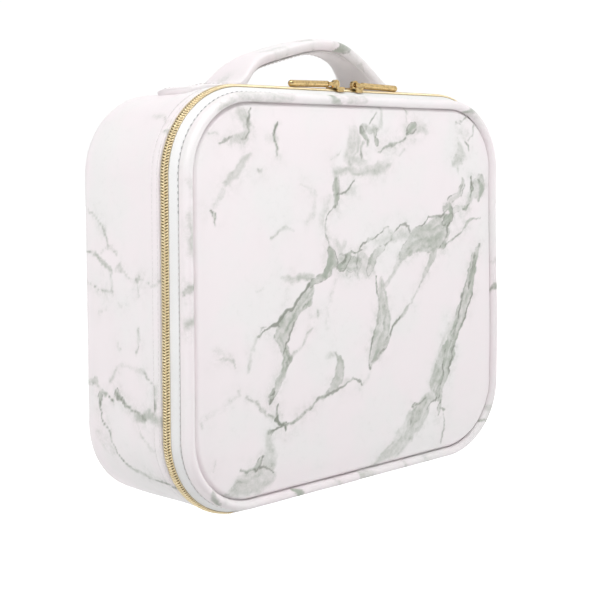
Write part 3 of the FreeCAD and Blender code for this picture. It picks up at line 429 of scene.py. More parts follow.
# A mark is its tone, how dark its outline is, how soft its edge is, and the points of its middle line with
# its half width there, all in millimetres. On the front they are (x, z, half width).
FRONT_MARKS = [
    # the broad blade at the upper right, and the dark knots at its end
    (0.62, 0.35, 0.8, [(36, 137, 1), (41, 143, 4), (50, 148, 6.5), (62, 149, 8.5), (72, 152, 10),
        (77, 158, 6)]),
    (0.50, 0.30, 0.8, [(68, 141, 3), (64, 133, 2.4), (58, 126, 1.6)]),
    (0.85, 0.90, 0.9, [(76, 158, 2.5), (81, 161, 3.2), (84, 164, 1.5)]),
    (0.75, 0.85, 0.9, [(77, 167, 1.6), (81, 169, 2.2), (83, 166, 2)]),
    (0.55, 0.80, 0.8, [(76, 164, 1.2), (70, 162, 1.3), (62, 162, 0.6), (58, 158, 0.5), (51, 155, 0.4)]),
    (0.40, 0.60, 0.9, [(78, 170, 1), (84, 173, 2.2), (91, 177, 2), (95, 182, 1.6), (95, 186, 1)]),
    (0.70, 0.85, 0.6, [(82, 158, 1), (80, 152, 0.8), (77, 146, 0.6)]),
    (0.90, 0.95, 0.6, [(74, 144, 1), (77, 144, 2.2), (79, 144, 0.8)]),
    (0.55, 0.65, 0.7, [(79, 144, 0.8), (85, 147, 0.9), (92, 150, 0.5), (96, 153, 0.5), (99, 157, 1.2),
        (105, 159, 0.9), (114, 160, 0.3)]),
    (0.42, 0.45, 1.2, [(86, 165, 2), (96, 167, 1.5), (101, 171, 1.6), (105, 177, 3), (112, 180, 6.5),
        (114, 187, 2.5)]),
    (0.80, 0.90, 0.9, [(104, 186, 0.8), (105, 180, 1.5), (103, 174, 0.7)]),
    (0.90, 0.95, 0.9, [(112, 185, 1), (114, 180, 3.0), (111, 174, 1.4)]),
    (0.85, 0.90, 0.6, [(95, 166, 0.7), (98, 167.5, 1.5), (102, 170, 0.6)]),
    # left of the blade
    (0.40, 0.70, 0.7, [(31, 156, 0.6), (35, 159, 1), (40, 158, 0.8), (43, 157, 0.6), (44, 153, 0.5)]),
    (0.30, 0.00, 2.5, [(14, 148, 3), (26, 152, 4), (40, 153, 4), (46, 151, 3)]),
    (0.45, 0.75, 0.7, [(0, 144, 0.6), (2, 148, 0.6), (6, 150.5, 1.6), (11, 152, 0.6), (18, 155, 0.4),
        (25, 158, 0.3)]),
    (0.50, 0.55, 1.0, [(7.5, 130, 1.4), (8.5, 135, 2.6), (13, 141, 2), (20, 146, 1.4), (27, 150, 1)]),
    (0.85, 0.90, 0.7, [(2, 144, 0.4), (-4, 142, 0.5), (-9, 144, 0.8), (-12, 140, 2.6), (-16, 136, 3)]),
    (0.60, 0.50, 1.5, [(-16, 139, 4), (-8, 136, 4.5), (-2, 136, 3.5)]),
    (0.36, 0.25, 1.8, [(-10, 133, 4), (0, 137, 6), (8, 131, 4)]),
    (0.50, 0.60, 0.7, [(-1, 143, 0.6), (-2, 137, 0.8), (-2, 130, 0.5)]),
    (0.80, 0.90, 0.9, [(-26, 150, 0.8), (-24, 144, 2.6), (-23, 138, 3.6), (-26, 133, 3.4)]),
    (0.72, 0.80, 0.9, [(-26, 133, 3), (-33, 131, 2.4), (-39, 129, 2), (-41, 127, 1.4)]),
    (0.38, 0.00, 2.0, [(-20, 151, 1.5), (-17, 144, 2.5), (-13, 150, 1)]),
    (0.48, 0.00, 1.4, [(-38, 132, 1.4), (-48, 131.5, 2.2), (-56, 130.5, 1.5), (-64, 132, 1)]),
    (0.20, 0.00, 2.5, [(-20, 129, 1), (-24, 122, 1), (-28, 112, 1), (-27, 102, 1.4)]),
    # the blade that runs down to the left
    (0.62, 0.50, 0.8, [(-41, 124, 3), (-45, 119, 5.5), (-53, 115, 4), (-60, 107, 5), (-64, 100, 4.2),
        (-61, 91, 2.6), (-59, 86, 3)]),
    (0.70, 1.00, 0.8, [(-42, 128, 0.8), (-50, 121, 1), (-56, 117, 0.9), (-61, 111, 1), (-66, 106, 1.3),
        (-72, 105, 0.8)]),
    (0.50, 0.80, 0.8, [(-72, 105, 0.8), (-78, 104, 0.6), (-82, 101, 0.9)]),
    (0.30, 0.50, 0.7, [(-82, 101, 0.5), (-80, 106, 0.5), (-76, 106, 0.4)]),
    (0.70, 0.80, 0.7, [(-54, 108, 0.5), (-58, 100, 0.7), (-60, 93, 0.6), (-62, 88, 0.7)]),
    (0.62, 0.50, 0.9, [(-60, 85, 2.4), (-64, 78, 2.8), (-68, 72, 2.2), (-71, 67, 2.2), (-73, 64, 1)]),
    (0.80, 0.90, 0.9, [(-70, 69, 0.8), (-71, 66, 1.6), (-73, 63, 0.6)]),
    (0.40, 0.60, 0.8, [(-66, 62, 0.8), (-68, 55, 1.0), (-66, 52, 0.9)]),
    (0.85, 0.95, 0.7, [(-68, 53, 1.1), (-64, 50, 1.2), (-61, 49, 1.3), (-61, 46, 0.6)]),
    (0.60, 0.75, 0.7, [(-64, 49, 0.7), (-69, 48, 0.8), (-73, 45, 1.6)]),
    (0.40, 0.00, 1.8, [(-74, 45, 2), (-73, 36, 4), (-74, 28, 5)]),
    (0.42, 0.15, 2.0, [(-101, 17, 1.5), (-94, 20, 5.5), (-84, 20, 8), (-75, 21, 6)]),
    (0.65, 0.90, 0.7, [(-95, 29, 0.5), (-89, 27.5, 1), (-83, 27.5, 1.3), (-80, 31, 1.6), (-77, 34, 1)]),
    (0.50, 0.70, 0.7, [(-80, 28, 1), (-75, 26, 0.7), (-71, 23, 0.5)]),
    (0.45, 0.40, 1.2, [(-104, 16, 0.8), (-99, 20, 2), (-93, 21, 1.2)]),
    # the thin line along the bottom of the middle, and the hook above it
    (0.50, 0.75, 0.8, [(-60, 48, 0.6), (-52, 51, 0.9), (-44, 55, 1), (-37, 58, 1.1), (-29, 60, 1),
        (-20, 61.5, 1)]),
    (0.45, 0.70, 0.8, [(-20, 61.5, 1), (-11, 65, 0.9), (-6, 67.5, 1.2), (0, 66, 0.8), (1, 64, 0.4)]),
    (0.20, 0.00, 1.5, [(1, 64, 1), (5, 66, 1), (9, 70, 1)]),
    (0.62, 0.45, 0.8, [(-21, 87, 0.6), (-17.5, 82, 1.8), (-16, 76, 2.5), (-18, 69, 3.8), (-23, 64, 2.8),
        (-27, 61.5, 0.8)]),
    (0.30, 0.00, 1.5, [(-28, 84, 1), (-22, 85, 1.2), (-19, 84, 1.2)]),
    (0.30, 0.10, 1.5, [(-18, 66, 2), (-12, 66, 1.8), (-8, 66, 1)]),
    # the triangle right of the middle
    (0.55, 0.30, 0.8, [(18, 125, 2.6), (19, 116, 3.6), (20, 108, 4.5), (21, 100, 7), (19, 92, 6),
        (14, 84, 4.6), (10, 77, 2.6), (9, 72, 0.6)]),
    (0.60, 0.80, 0.7, [(12.5, 128, 0.5), (14, 119, 0.8), (16, 109, 0.7), (16, 100, 0.6), (12, 90, 0.7),
        (8, 80, 0.8), (7, 77, 0.7), (9, 72, 0.7)]),
    (0.60, 0.80, 0.8, [(21, 111, 0.9), (23, 105, 1.0), (21, 98, 0.7), (19, 92, 0.5)]),
    (0.50, 0.75, 0.8, [(10, 76, 0.8), (16, 79, 0.9), (22, 84, 1.4), (26, 90, 1.3), (31, 95, 1.2),
        (37, 101, 1.1), (42, 105, 1.5)]),
    (0.38, 0.35, 1.0, [(42, 105, 1.4), (48, 112, 0.9), (53, 118, 0.8), (59, 126, 1.2)]),
    (0.40, 0.10, 1.2, [(22, 122, 1.4), (28, 128, 1.5), (33, 133, 1.8), (37, 139, 2.2)]),
    # the long diagonal at the right
    (0.62, 0.55, 0.8, [(112, 142, 0.5), (108, 136, 2.4), (105, 128, 3.8), (103, 120, 3),
        (101, 112, 4.4), (96, 102, 5.2), (91, 92, 5.4), (88, 84, 3.6)]),
    (0.60, 0.40, 0.8, [(87, 84, 4), (82, 74, 6.6), (76, 64, 7), (72, 55, 6.4), (74, 47, 3.4)]),
    (0.30, 0.00, 2.2, [(88, 96, 2.5), (80, 84, 3), (72, 70, 3), (66, 58, 2.5)]),
    (0.80, 0.90, 0.8, [(108, 137, 0.9), (106, 129, 1.8), (103, 121, 1.6), (101, 113, 0.6)]),
    (0.70, 0.90, 0.7, [(105, 111, 0.5), (100, 99, 0.6), (95, 90, 1.1), (90, 81, 0.7), (86, 72, 0.5),
        (82, 60, 0.5)]),
    (0.70, 0.90, 0.7, [(98, 116, 0.5), (93, 104, 0.6), (91, 97, 1.1), (89, 88, 0.8), (88, 83, 1.4)]),
    (0.70, 0.90, 0.7, [(80, 76, 0.5), (77, 66, 0.9), (76, 57, 0.7), (73, 48, 1.8), (70, 44, 0.6)]),
    (0.75, 0.85, 0.8, [(76, 44, 1), (74, 38, 1.8), (72, 34, 0.8)]),
    (0.60, 0.70, 0.8, [(74, 38, 1), (79, 36, 0.8)]),
    (0.25, 0.45, 0.9, [(78, 34, 0.4), (79, 28, 0.7), (77, 20, 0.8), (75, 15, 0.9)]),
    (0.50, 0.20, 1.0, [(70, 48, 3), (62, 46, 5), (57, 39, 7), (49, 31, 6.5), (44, 25, 4)]),
    (0.34, 0.00, 1.6, [(46, 38, 3), (42, 26, 7), (32, 19, 7), (20, 14, 3), (13, 12, 1)]),
    (0.45, 0.70, 0.8, [(71, 45, 0.7), (66, 43, 0.6), (62, 39, 0.5)]),
    (0.50, 0.70, 0.8, [(62, 48, 0.5), (54, 44, 0.7), (50, 44, 1.5), (48, 43, 0.5)]),
    (0.45, 0.40, 1.0, [(52, 42, 0.6), (48, 36, 1), (45, 29, 1)]),
    # the upper middle
    (0.40, 0.00, 2.4, [(-6, 214, 4), (-6, 206, 4.5), (-9, 199, 4.5), (2, 197, 2.5)]),
    (0.46, 0.00, 2.0, [(-22, 192, 2.5), (-10, 191.5, 2.6), (5, 191, 3), (20, 193, 3.4), (24, 195, 2)]),
    (0.46, 0.50, 1.4, [(3, 218, 2.5), (9, 216, 2.5), (13, 217, 3)]),
    (0.60, 0.80, 0.8, [(1, 217, 1.4), (3, 212, 1.6), (5, 207, 1)]),
    (0.60, 0.80, 0.8, [(12, 216, 1.8), (12, 211, 1.2), (13, 207, 1.5)]),
    (0.45, 0.60, 0.8, [(4, 218, 0.6), (8, 220, 0.6), (14, 227, 0.5)]),
    (0.42, 0.20, 1.2, [(19, 230, 1.4), (17, 223, 1.6), (17, 218, 1.2)]),
    (0.50, 0.50, 1.0, [(0, 208, 1.6), (0, 204, 1), (0, 200, 1)]),
    (0.75, 0.60, 1.2, [(-21, 188, 1.6), (-22, 182, 2.8), (-21, 177, 2.4), (-22, 172, 1)]),
    (0.40, 0.70, 0.8, [(-20, 178, 0.7), (-14, 180, 0.8), (-6, 185, 0.6)]),
    (0.28, 0.00, 2.0, [(-16, 179, 1.5), (-6, 181, 2.5)]),
    (0.35, 0.60, 0.8, [(-23, 172, 0.6), (-27, 169, 0.6), (-30, 162, 0.9), (-29, 156, 0.6),
        (-26, 150, 0.8)]),
    (0.22, 0.00, 2.0, [(-26, 178, 1), (-32, 166, 2), (-32, 160, 1.6)]),
    (0.60, 0.85, 0.8, [(15, 202, 0.6), (20, 204, 1), (26, 207, 1.2), (32, 210, 1.1), (39, 212, 0.8)]),
    (0.30, 0.00, 1.4, [(34, 201, 1), (38, 205, 1.2)]),
    (0.90, 0.90, 1.1, [(41, 214, 1), (44, 217, 3.2), (48, 219, 2)]),
    (0.30, 0.00, 2.5, [(42, 217, 4), (50, 219, 5), (58, 217, 3)]),
    (0.35, 0.50, 1.0, [(41, 229, 0.7), (40, 222, 0.7)]),
    (0.30, 0.20, 1.0, [(-25, 200, 0.5), (-18, 203, 0.8)]),
    # the corners at the top
    (0.40, 0.50, 0.9, [(88, 221, 1.2), (92, 222, 1.4), (96, 224, 0.6), (100, 226.5, 0.6), (104, 224, 0.4)]),
    (0.22, 0.00, 2.5, [(90, 216, 3), (98, 214, 3)]),
    (0.40, 0.60, 0.8, [(98, 210, 1), (101, 208, 0.7), (101, 204, 0.4)]),
    (0.35, 0.50, 0.8, [(101, 211, 0.6), (105, 214, 0.8), (106, 219, 0.5)]),
    (0.48, 0.10, 2.0, [(92, 206, 2.5), (93, 199, 4), (87, 195, 2.5)]),
    (0.35, 0.20, 1.4, [(90, 194, 1), (90, 189, 0.8)]),
    (0.46, 0.10, 1.2, [(-95, 226, 1.5), (-89, 222, 3), (-88, 216, 2), (-92, 211, 3.4), (-99, 210, 2.5)]),
    (0.55, 0.75, 0.8, [(-86, 225, 0.5), (-87, 218, 1.3), (-88, 214, 0.8), (-92, 210, 0.6)]),
    (0.38, 0.50, 1.0, [(-99, 212, 0.8), (-105, 210, 1), (-108, 208, 0.6)]),
    (0.28, 0.10, 1.2, [(-114, 214, 1), (-109, 213, 0.8)]),
    (0.55, 0.75, 0.8, [(-68, 220, 0.7), (-69, 214, 1.3), (-67, 207, 1.1), (-68, 202, 0.4)]),
    (0.18, 0.00, 2.5, [(-75, 211, 2.5), (-68, 212, 3)]),
    (0.45, 0.00, 1.5, [(-86, 201, 1.5), (-91, 198, 2.4), (-97, 192, 3), (-103, 186, 2)]),
    (0.40, 0.30, 1.0, [(-106, 186, 0.8), (-102, 187, 1)]),
    (0.24, 0.00, 2.0, [(-105, 183, 2), (-111, 177, 2)]),
    (0.60, 0.75, 0.9, [(-114, 173, 0.8), (-112, 171, 1.5), (-110, 165, 0.6)]),
    (0.32, 0.20, 1.2, [(-81, 192, 0.8), (-79, 192, 0.8)]),
    # faint marks at the left
    (0.35, 0.25, 1.0, [(-71, 156, 0.5), (-66, 158, 0.7), (-61, 160, 0.9), (-55, 159, 0.4)]),
    (0.35, 0.20, 1.2, [(-49, 185, 0.7), (-46, 184.5, 0.8)]),
    (0.24, 0.00, 2.2, [(-44, 184, 1), (-37, 177, 1.5), (-39, 168, 1.8), (-44, 164, 1.8)]),
    (0.25, 0.10, 1.2, [(-83, 126, 0.6), (-77, 128, 0.5)]),
    (0.40, 0.35, 1.0, [(-112, 91, 0.6), (-106, 92, 1), (-100, 89.5, 0.8), (-98, 87, 0.5)]),
    (0.15, 0.00, 3.0, [(-112, 96, 3), (-102, 92, 3)]),
    (0.30, 0.10, 1.6, [(-82, 101, 1.2), (-87, 94, 1.6), (-90, 84, 1.4)]),
    (0.30, 0.10, 1.4, [(-97, 73, 1), (-96, 70, 1.2), (-103, 69, 0.8)]),
    (0.36, 0.30, 1.2, [(-90, 69, 0.6), (-83, 66, 1), (-80, 61, 1.4), (-75, 57, 1.2), (-70, 54, 0.8)]),
    (0.26, 0.10, 1.4, [(-121, 58, 1), (-120, 55, 0.8)]),
    (0.15, 0.00, 2.5, [(-120, 60, 1.5), (-108, 66, 1.5), (-97, 71, 1.5)]),
    (0.30, 0.20, 1.2, [(-112, 37, 0.7), (-114, 31, 0.6)]),
    (0.45, 0.30, 1.2, [(-36, 113, 1.1), (-35, 109, 0.8)]),
    (0.34, 0.20, 1.2, [(-40, 101, 1), (-45, 96, 0.8), (-51, 91, 0.8), (-56, 87, 1)]),
    (0.14, 0.00, 3.5, [(-40, 108, 3), (-32, 112, 3)]),
]
# on the left side, (y, z, half width)
SIDE_MARKS = [
    (0.35, 0.30, 0.8, [(-28, 134, 0.9), (-22, 131.5, 0.6), (-12, 132.5, 0.5), (-8, 133, 1)]),
    (0.85, 0.95, 0.8, [(-8, 133.5, 1.4), (-6, 132.5, 1.8)]),
    (0.35, 0.35, 0.9, [(-5, 131, 0.8), (-6, 127, 0.8), (-9, 124, 0.5)]),
    (0.36, 0.30, 0.9, [(-4, 132, 0.8), (2, 134, 0.6), (6, 138, 0.7), (10, 140.5, 2), (13, 139, 1.2)]),
    (0.40, 0.40, 0.9, [(13, 147, 0.8), (17, 149.5, 0.9), (22, 151, 1.2), (24, 157, 0.9), (30, 164, 0.9),
        (36, 168, 0.8), (41, 171, 0.6)]),
    (0.25, 0.10, 1.2, [(22, 152, 0.8), (28, 147, 0.7)]),
    (0.55, 0.55, 1.0, [(17, 137, 1.2), (22, 139.5, 2), (27, 142, 1.4), (32, 144, 1.3), (37, 145, 0.9),
        (44, 147, 1)]),
    (0.36, 0.30, 1.0, [(19, 136, 1.2), (17, 130, 0.8), (18, 125, 0.9)]),
    (0.42, 0.50, 0.8, [(17, 124, 0.9), (25, 125, 0.7), (32, 125, 0.7), (38, 128, 0.6), (46, 130, 0.6)]),
    (0.22, 0.00, 1.2, [(4, 118, 0.8), (12, 119, 0.8)]),
    (0.30, 0.10, 1.2, [(23, 115, 1), (31, 112, 0.9)]),
    (0.42, 0.45, 1.0, [(-7, 107, 0.6), (-7.5, 101, 1.4), (-6, 96, 0.8), (-4.5, 94, 1)]),
    (0.45, 0.45, 1.0, [(-22, 77, 0.8), (-17, 80.5, 1), (-10, 83.5, 1.2), (-4, 85, 0.8)]),
    (0.20, 0.00, 1.2, [(-4, 85, 0.8), (6, 85, 0.8), (14, 82, 0.8)]),
    (0.30, 0.20, 1.2, [(9, 93, 0.8), (12, 92, 1), (12, 97, 0.6)]),
    (0.45, 0.25, 1.4, [(14, 82, 0.9), (18, 76, 1.6), (22, 74, 1)]),
    (0.60, 0.80, 0.7, [(-21, 78, 0.6), (-21, 71, 0.9), (-22.5, 62, 0.9)]),
    (0.55, 0.35, 1.0, [(-28, 58, 2.6), (-21, 58, 3.4), (-17, 62, 3), (-12, 59, 2), (-6, 58, 2.4),
        (-2, 59, 1.4)]),
    (0.60, 0.80, 0.9, [(-14, 58.5, 0.7), (-7, 60, 1.2), (0, 61, 1), (6, 64, 1.3), (11, 66.5, 1.4),
        (14, 68.5, 2)]),
    (0.30, 0.20, 1.2, [(-4, 56, 1.4), (-9, 50, 0.9), (-15, 45, 0.9), (-20, 40, 0.7)]),
    (0.55, 0.75, 0.8, [(18, 64.5, 0.8), (24, 66, 0.9), (28, 66, 1.4), (31, 62.5, 1.4), (32, 60, 1)]),
    (0.45, 0.40, 1.0, [(28, 67, 0.8), (33, 69, 0.9), (36, 72, 2), (44, 70, 1.4)]),
    (0.50, 0.70, 0.9, [(32, 58, 0.6), (29, 51, 0.7), (25, 47, 1), (20, 40, 0.8), (16, 32, 0.9),
        (11, 27, 1), (5, 23.5, 1.2)]),
    (0.55, 0.75, 0.9, [(5, 23.5, 1.2), (-4, 21, 1.4), (-14, 21, 1.2), (-26, 18, 0.8)]),
    (0.28, 0.20, 1.2, [(-13, 22, 0.6), (-8, 28, 0.8)]),
    (0.16, 0.00, 3.0, [(22, 34, 4), (34, 44, 3)]),
    (0.30, 0.10, 1.4, [(-38, 216, 1.5), (-32, 217, 1.2)]),
    (0.55, 0.60, 1.0, [(-30, 216, 1), (-27, 216, 1)]),
    (0.42, 0.40, 1.0, [(-23, 221, 0.9), (-19, 225.5, 0.9)]),
    (0.24, 0.00, 1.6, [(-17, 226, 1.6), (-4, 227, 2)]),
]
# along the roll from the middle of the bottom, anticlockwise seen from the front, and across it
ROLL_MARKS = [
    (0.40, 0.10, 1.6, [(0, 8, 3), (10, 9, 3)]),
    (0.36, 0.30, 1.2, [(40, 5, 1), (42, 12, 1)]),
    (0.36, 0.20, 1.2, [(60, 6, 1.2), (63, 12, 1)]),
    (0.60, 0.60, 1.0, [(127, 5, 1), (132, 11, 2)]),
    (0.50, 0.50, 1.0, [(138, 6, 1.2), (141, 13, 1.2)]),
    (0.75, 0.85, 1.0, [(224, 3, 1), (228, 9, 1.6), (226, 15, 1)]),
    (0.36, 0.30, 1.2, [(243, 5, 0.8), (246, 12, 0.8)]),
    (0.80, 0.90, 1.0, [(350, 15, 1.5), (358, 11, 2.2), (367, 6, 1.4)]),
    (0.32, 0.05, 2.2, [(466, 9, 4), (476, 8, 4)]),
    (0.75, 0.80, 1.2, [(484, 5, 1.2), (490, 9, 2.8), (493, 14, 1.5)]),
    (0.45, 0.55, 1.0, [(537, 4, 0.8), (536, 10, 1), (538, 15, 0.6)]),
    (0.32, 0.00, 2.5, [(526, 8, 4), (548, 9, 5), (580, 8, 4)]),
    (0.36, 0.00, 2.2, [(650, 8, 3), (670, 9, 3)]),
    (0.80, 0.90, 1.0, [(685, 4, 1), (689, 8, 2), (691, 13, 1.6)]),
    (0.50, 0.30, 1.6, [(704, 6, 2), (709, 12, 2.5)]),
    (0.25, 0.00, 2.0, [(640, 6, 1.4), (632, 11, 1.2)]),
    (0.60, 0.60, 1.0, [(811, 7, 1.5), (820, 11, 2)]),
    (0.78, 0.85, 1.0, [(880, 5, 1.2), (885, 9, 2.6), (886, 14, 2)]),
    (0.40, 0.40, 1.2, [(912, 6, 1), (916, 11, 1.4)]),
]
# along the case's width, and across the handle, whose front edge is at -13
HANDLE_MARKS = [
    (0.75, 0.85, 1.0, [(22, -9, 1), (27, -12, 2.2), (32, -13, 1.8)]),
    (0.50, 0.35, 1.4, [(46, -12, 1.5), (51, -11, 2.4), (57, -14, 1.6)]),
    (0.40, 0.50, 1.0, [(-9, -7, 0.7), (-3, -10, 0.9), (3, -12, 0.6)]),
    (0.28, 0.00, 1.8, [(-70, -14, 1.6), (-73, -9, 1.5)]),
    (0.26, 0.00, 2.0, [(-34, -8, 2), (-22, -12, 2)]),
]


def print_marble(obj, u, v, seed, marks, cover=None):
    """Stores the print on the mesh: its grey tone and its dark lines, over what is there already."""
    mesh = obj.data
    wu, wv = warped(u, v, seed)
    tone, line = brushed(wu, wv, marks, seed + 20)
    broken = smooth(-0.55, 0.35, ripple(u, v, 8, seed + 8) + 0.5 * ripple(u, v, 2.7, seed + 9))
    line = line * (0.45 + 0.55 * broken)
    patchy = 0.92 + 0.20 * ripple(u, v, 9, seed + 10) + 0.16 * ripple(u, v, 3, seed + 11)
    tone = tone * patchy
    if cover is not None:
        tone, line = tone * cover, line * cover
    for name, values in (("tone", tone), ("line", line)):
        kept = mesh.attributes.get(name)
        if kept is None:
            kept = mesh.attributes.new(name, "FLOAT", "POINT")
            kept.data.foreach_set("value", values.astype(np.float32))
        else:
            before = np.zeros(len(mesh.vertices), np.float32)
            kept.data.foreach_get("value", before)
            kept.data.foreach_set("value", np.maximum(before, values).astype(np.float32))


def vertices_of(obj):
    points = np.zeros(len(obj.data.vertices) * 3)
    obj.data.vertices.foreach_get("co", points)
    return points.reshape(-1, 3)


# ------------------------------------------------------------------ materials

class Nodes:
    """The node tree of a material or of the world, with short calls for the nodes used here."""

    def __init__(self, owner, shader):
        self.owner = owner
        owner.use_nodes = True
        self.tree = owner.node_tree
        self.shader = self.tree.nodes[shader]

    def add(self, kind, inputs=None, **settings):
        node = self.tree.nodes.new(kind)
        for key, value in settings.items():
            setattr(node, key, value)
        for key, value in (inputs or {}).items():
            self.put(node.inputs[key], value)
        return node

    def put(self, socket, value):
        if isinstance(value, bpy.types.NodeSocket):
            self.tree.links.new(value, socket)
        else:
            socket.default_value = value

    def math(self, operation, *values):
        return self.add("ShaderNodeMath", dict(enumerate(values)), operation=operation).outputs[0]

    def vector(self, operation, *values):
        return self.add("ShaderNodeVectorMath", dict(enumerate(values)), operation=operation).outputs

    def between(self, value, low, high, to_low=0.0, to_high=1.0, curve="SMOOTHSTEP"):
        inputs = {0: value, 1: low, 2: high, 3: to_low, 4: to_high}
        return self.add("ShaderNodeMapRange", inputs, interpolation_type=curve).outputs[0]

    def mix(self, share, a, b):
        node = self.add("ShaderNodeMix", data_type="RGBA")
        self.put(node.inputs[0], share)
        self.put(node.inputs[6], a)
        self.put(node.inputs[7], b)
        return node.outputs[2]

    def noise(self, vector, scale, detail=3.0, roughness=0.55):
        inputs = {"Vector": vector, "Scale": scale, "Detail": detail, "Roughness": roughness}
        return self.add("ShaderNodeTexNoise", inputs).outputs[0]

    def cells(self, vector, scale):
        return self.add("ShaderNodeTexVoronoi", {"Vector": vector, "Scale": scale}).outputs["Distance"]

    def place(self, kind="Object"):
        return self.add("ShaderNodeTexCoord").outputs[kind]

    def stored(self, name):
        return self.add("ShaderNodeAttribute", attribute_name=name).outputs["Fac"]

    def bump(self, height, strength, distance, normal=None):
        inputs = {"Height": height, "Strength": strength, "Distance": distance}
        if normal is not None:
            inputs["Normal"] = normal
        return self.add("ShaderNodeBump", inputs).outputs[0]

    def finish(self, **sockets):
        for name, value in sockets.items():
            self.put(self.shader.inputs[name.replace("_", " ")], value)
        return self.owner


def new_material(name):
    return Nodes(bpy.data.materials.new(name), "Principled BSDF")


def leather_surface(made, where, fine_cells=1500.0, strength=0.16):
    """The surface of pressed leather: fine grain with pores in it, and soft dimples."""
    grain = made.cells(where, fine_cells)
    pores = made.noise(where, 3200.0, 2.0)
    dimples = made.noise(where, 90.0, 2.0)
    height = made.math("MULTIPLY_ADD", pores, 0.35, grain)
    normal = made.bump(dimples, 0.06, 0.002)
    return made.bump(height, strength, 0.0002, normal)


def marble_leather():
    """White leather with the stored print on it. Noise tears the edges of its tones and lines."""
    made = new_material("marble_leather")
    where = made.place()
    speck = made.noise(where, 900.0, 4.0, 0.7)
    streak = made.noise(where, 240.0, 4.0, 0.7)
    wave = made.noise(where, 22.0, 3.0)
    pinkish, greyish = (0.868, 0.808, 0.826, 1), (0.838, 0.818, 0.818, 1)
    vein, outline = (0.40, 0.43, 0.375, 1), (0.20, 0.21, 0.175, 1)
    base = made.mix(made.between(wave, 0.38, 0.68), pinkish, greyish)
    gate = made.between(made.stored("tone"), 0.0, 0.10)
    fibres = made.math("MULTIPLY", speck, 0.35)
    torn = made.math("MULTIPLY_ADD", made.math("SUBTRACT", streak, 0.5), 1.0, fibres)
    torn = made.math("SUBTRACT", torn, 0.175)
    rough_tone = made.math("MULTIPLY_ADD", made.math("MULTIPLY", torn, gate), 0.62, made.stored("tone"))
    rough_tone = made.math("MAXIMUM", made.math("MULTIPLY", rough_tone, 1.35), 0.0)
    haze = made.math("MULTIPLY", made.between(streak, 0.52, 0.78), made.between(wave, 0.40, 0.62))
    colour = made.mix(made.math("MULTIPLY_ADD", haze, 0.10, rough_tone), base, vein)
    rough_line = made.math("MULTIPLY_ADD", made.math("MULTIPLY", torn, gate), 0.9, made.stored("line"))
    rough_line = made.between(rough_line, 0.08, 0.80)
    colour = made.mix(made.math("MULTIPLY", rough_line, 0.72), colour, outline)
    rough = made.between(made.noise(where, 140.0, 3.0), 0.3, 0.7, 0.36, 0.48)
    return made.finish(
        Base_Color=colour,
        Roughness=rough,
        Normal=leather_surface(made, where),
        Specular_IOR_Level=0.42,
        Coat_Weight=0.08,
        Coat_Roughness=0.3,
    )


def plain_leather():
    made = new_material("plain_leather")
    where = made.place()
    wave = made.noise(where, 60.0, 3.0)
    colour = made.mix(made.between(wave, 0.35, 0.7), (0.74, 0.715, 0.70, 1), (0.69, 0.675, 0.66, 1))
    rough = made.between(made.noise(where, 150.0, 3.0), 0.3, 0.7, 0.45, 0.58)
    surface = leather_surface(made, where, 1300.0, 0.22)
    return made.finish(Base_Color=colour, Roughness=rough, Normal=surface)


def woven(name, light, dark, threads, strength=0.35, sheen=0.15):
    """A plain weave of that many threads to the metre, in UV space."""
    made = new_material(name)
    where = made.place("UV")
    split = made.add("ShaderNodeSeparateXYZ", {0: where})
    warp = made.math("SINE", made.math("MULTIPLY", split.outputs[0], threads * math.pi))
    weft = made.math("SINE", made.math("MULTIPLY", split.outputs[1], threads * math.pi))
    height = made.math("MULTIPLY", warp, weft)
    solid = made.place()
    fuzz = made.noise(solid, 1600.0, 3.0, 0.6)
    height = made.math("MULTIPLY_ADD", fuzz, 0.8, height)
    # the colour is partly random tone and partly the weave's height: painted shade in the weave's dips
    relief = made.math("MULTIPLY", height, 0.22)
    shade = made.math("MULTIPLY_ADD", made.noise(solid, 35.0, 3.0), 0.5, relief)
    colour = made.mix(made.between(shade, 0.05, 0.65), dark, light)
    made.finish(Base_Color=colour, Normal=made.bump(height, strength, 0.0002))
    made.finish(Roughness=0.8, Specular_IOR_Level=0.25)
    return made.finish(Sheen_Weight=sheen, Sheen_Roughness=0.5)


def metal(name, base, worn, roughness):
    made = new_material(name)
    where = made.place()
    cloudy = made.noise(where, 700.0, 4.0, 0.65)
    scratch = made.add("ShaderNodeMapping", {0: where, 3: (1.0, 9.0, 7.0)}).outputs[0]
    lines = made.noise(scratch, 1500.0, 3.0, 0.6)
    colour = made.mix(made.between(cloudy, 0.35, 0.7), base, worn)
    rough = made.between(lines, 0.3, 0.75, roughness, roughness + 0.14)
    made.finish(Base_Color=colour, Roughness=rough, Metallic=1.0)
    return made.finish(Normal=made.bump(lines, 0.05, 0.0001))


def thread(name, colour):
    made = new_material(name)
    where = made.place()
    twist = made.noise(where, 2600.0, 2.0)
    # darker where the twist sinks, from the same noise as the bump: painted shade in the twist's dips
    dark = tuple(c * 0.72 for c in colour[:3]) + (1,)
    shade = made.mix(made.between(twist, 0.35, 0.65), dark, colour)
    return made.finish(Base_Color=shade, Roughness=0.62, Normal=made.bump(twist, 0.5, 0.0001))


def foam(name, light, dark):
    made = new_material(name)
    where = made.place()
    cell = made.cells(where, 1400.0)
    # darker in the cells' pits, where the bump sinks: painted shade
    colour = made.mix(made.between(cell, 0.1, 0.6), dark, light)
    return made.finish(Base_Color=colour, Roughness=0.9, Normal=made.bump(cell, 0.4, 0.0003))


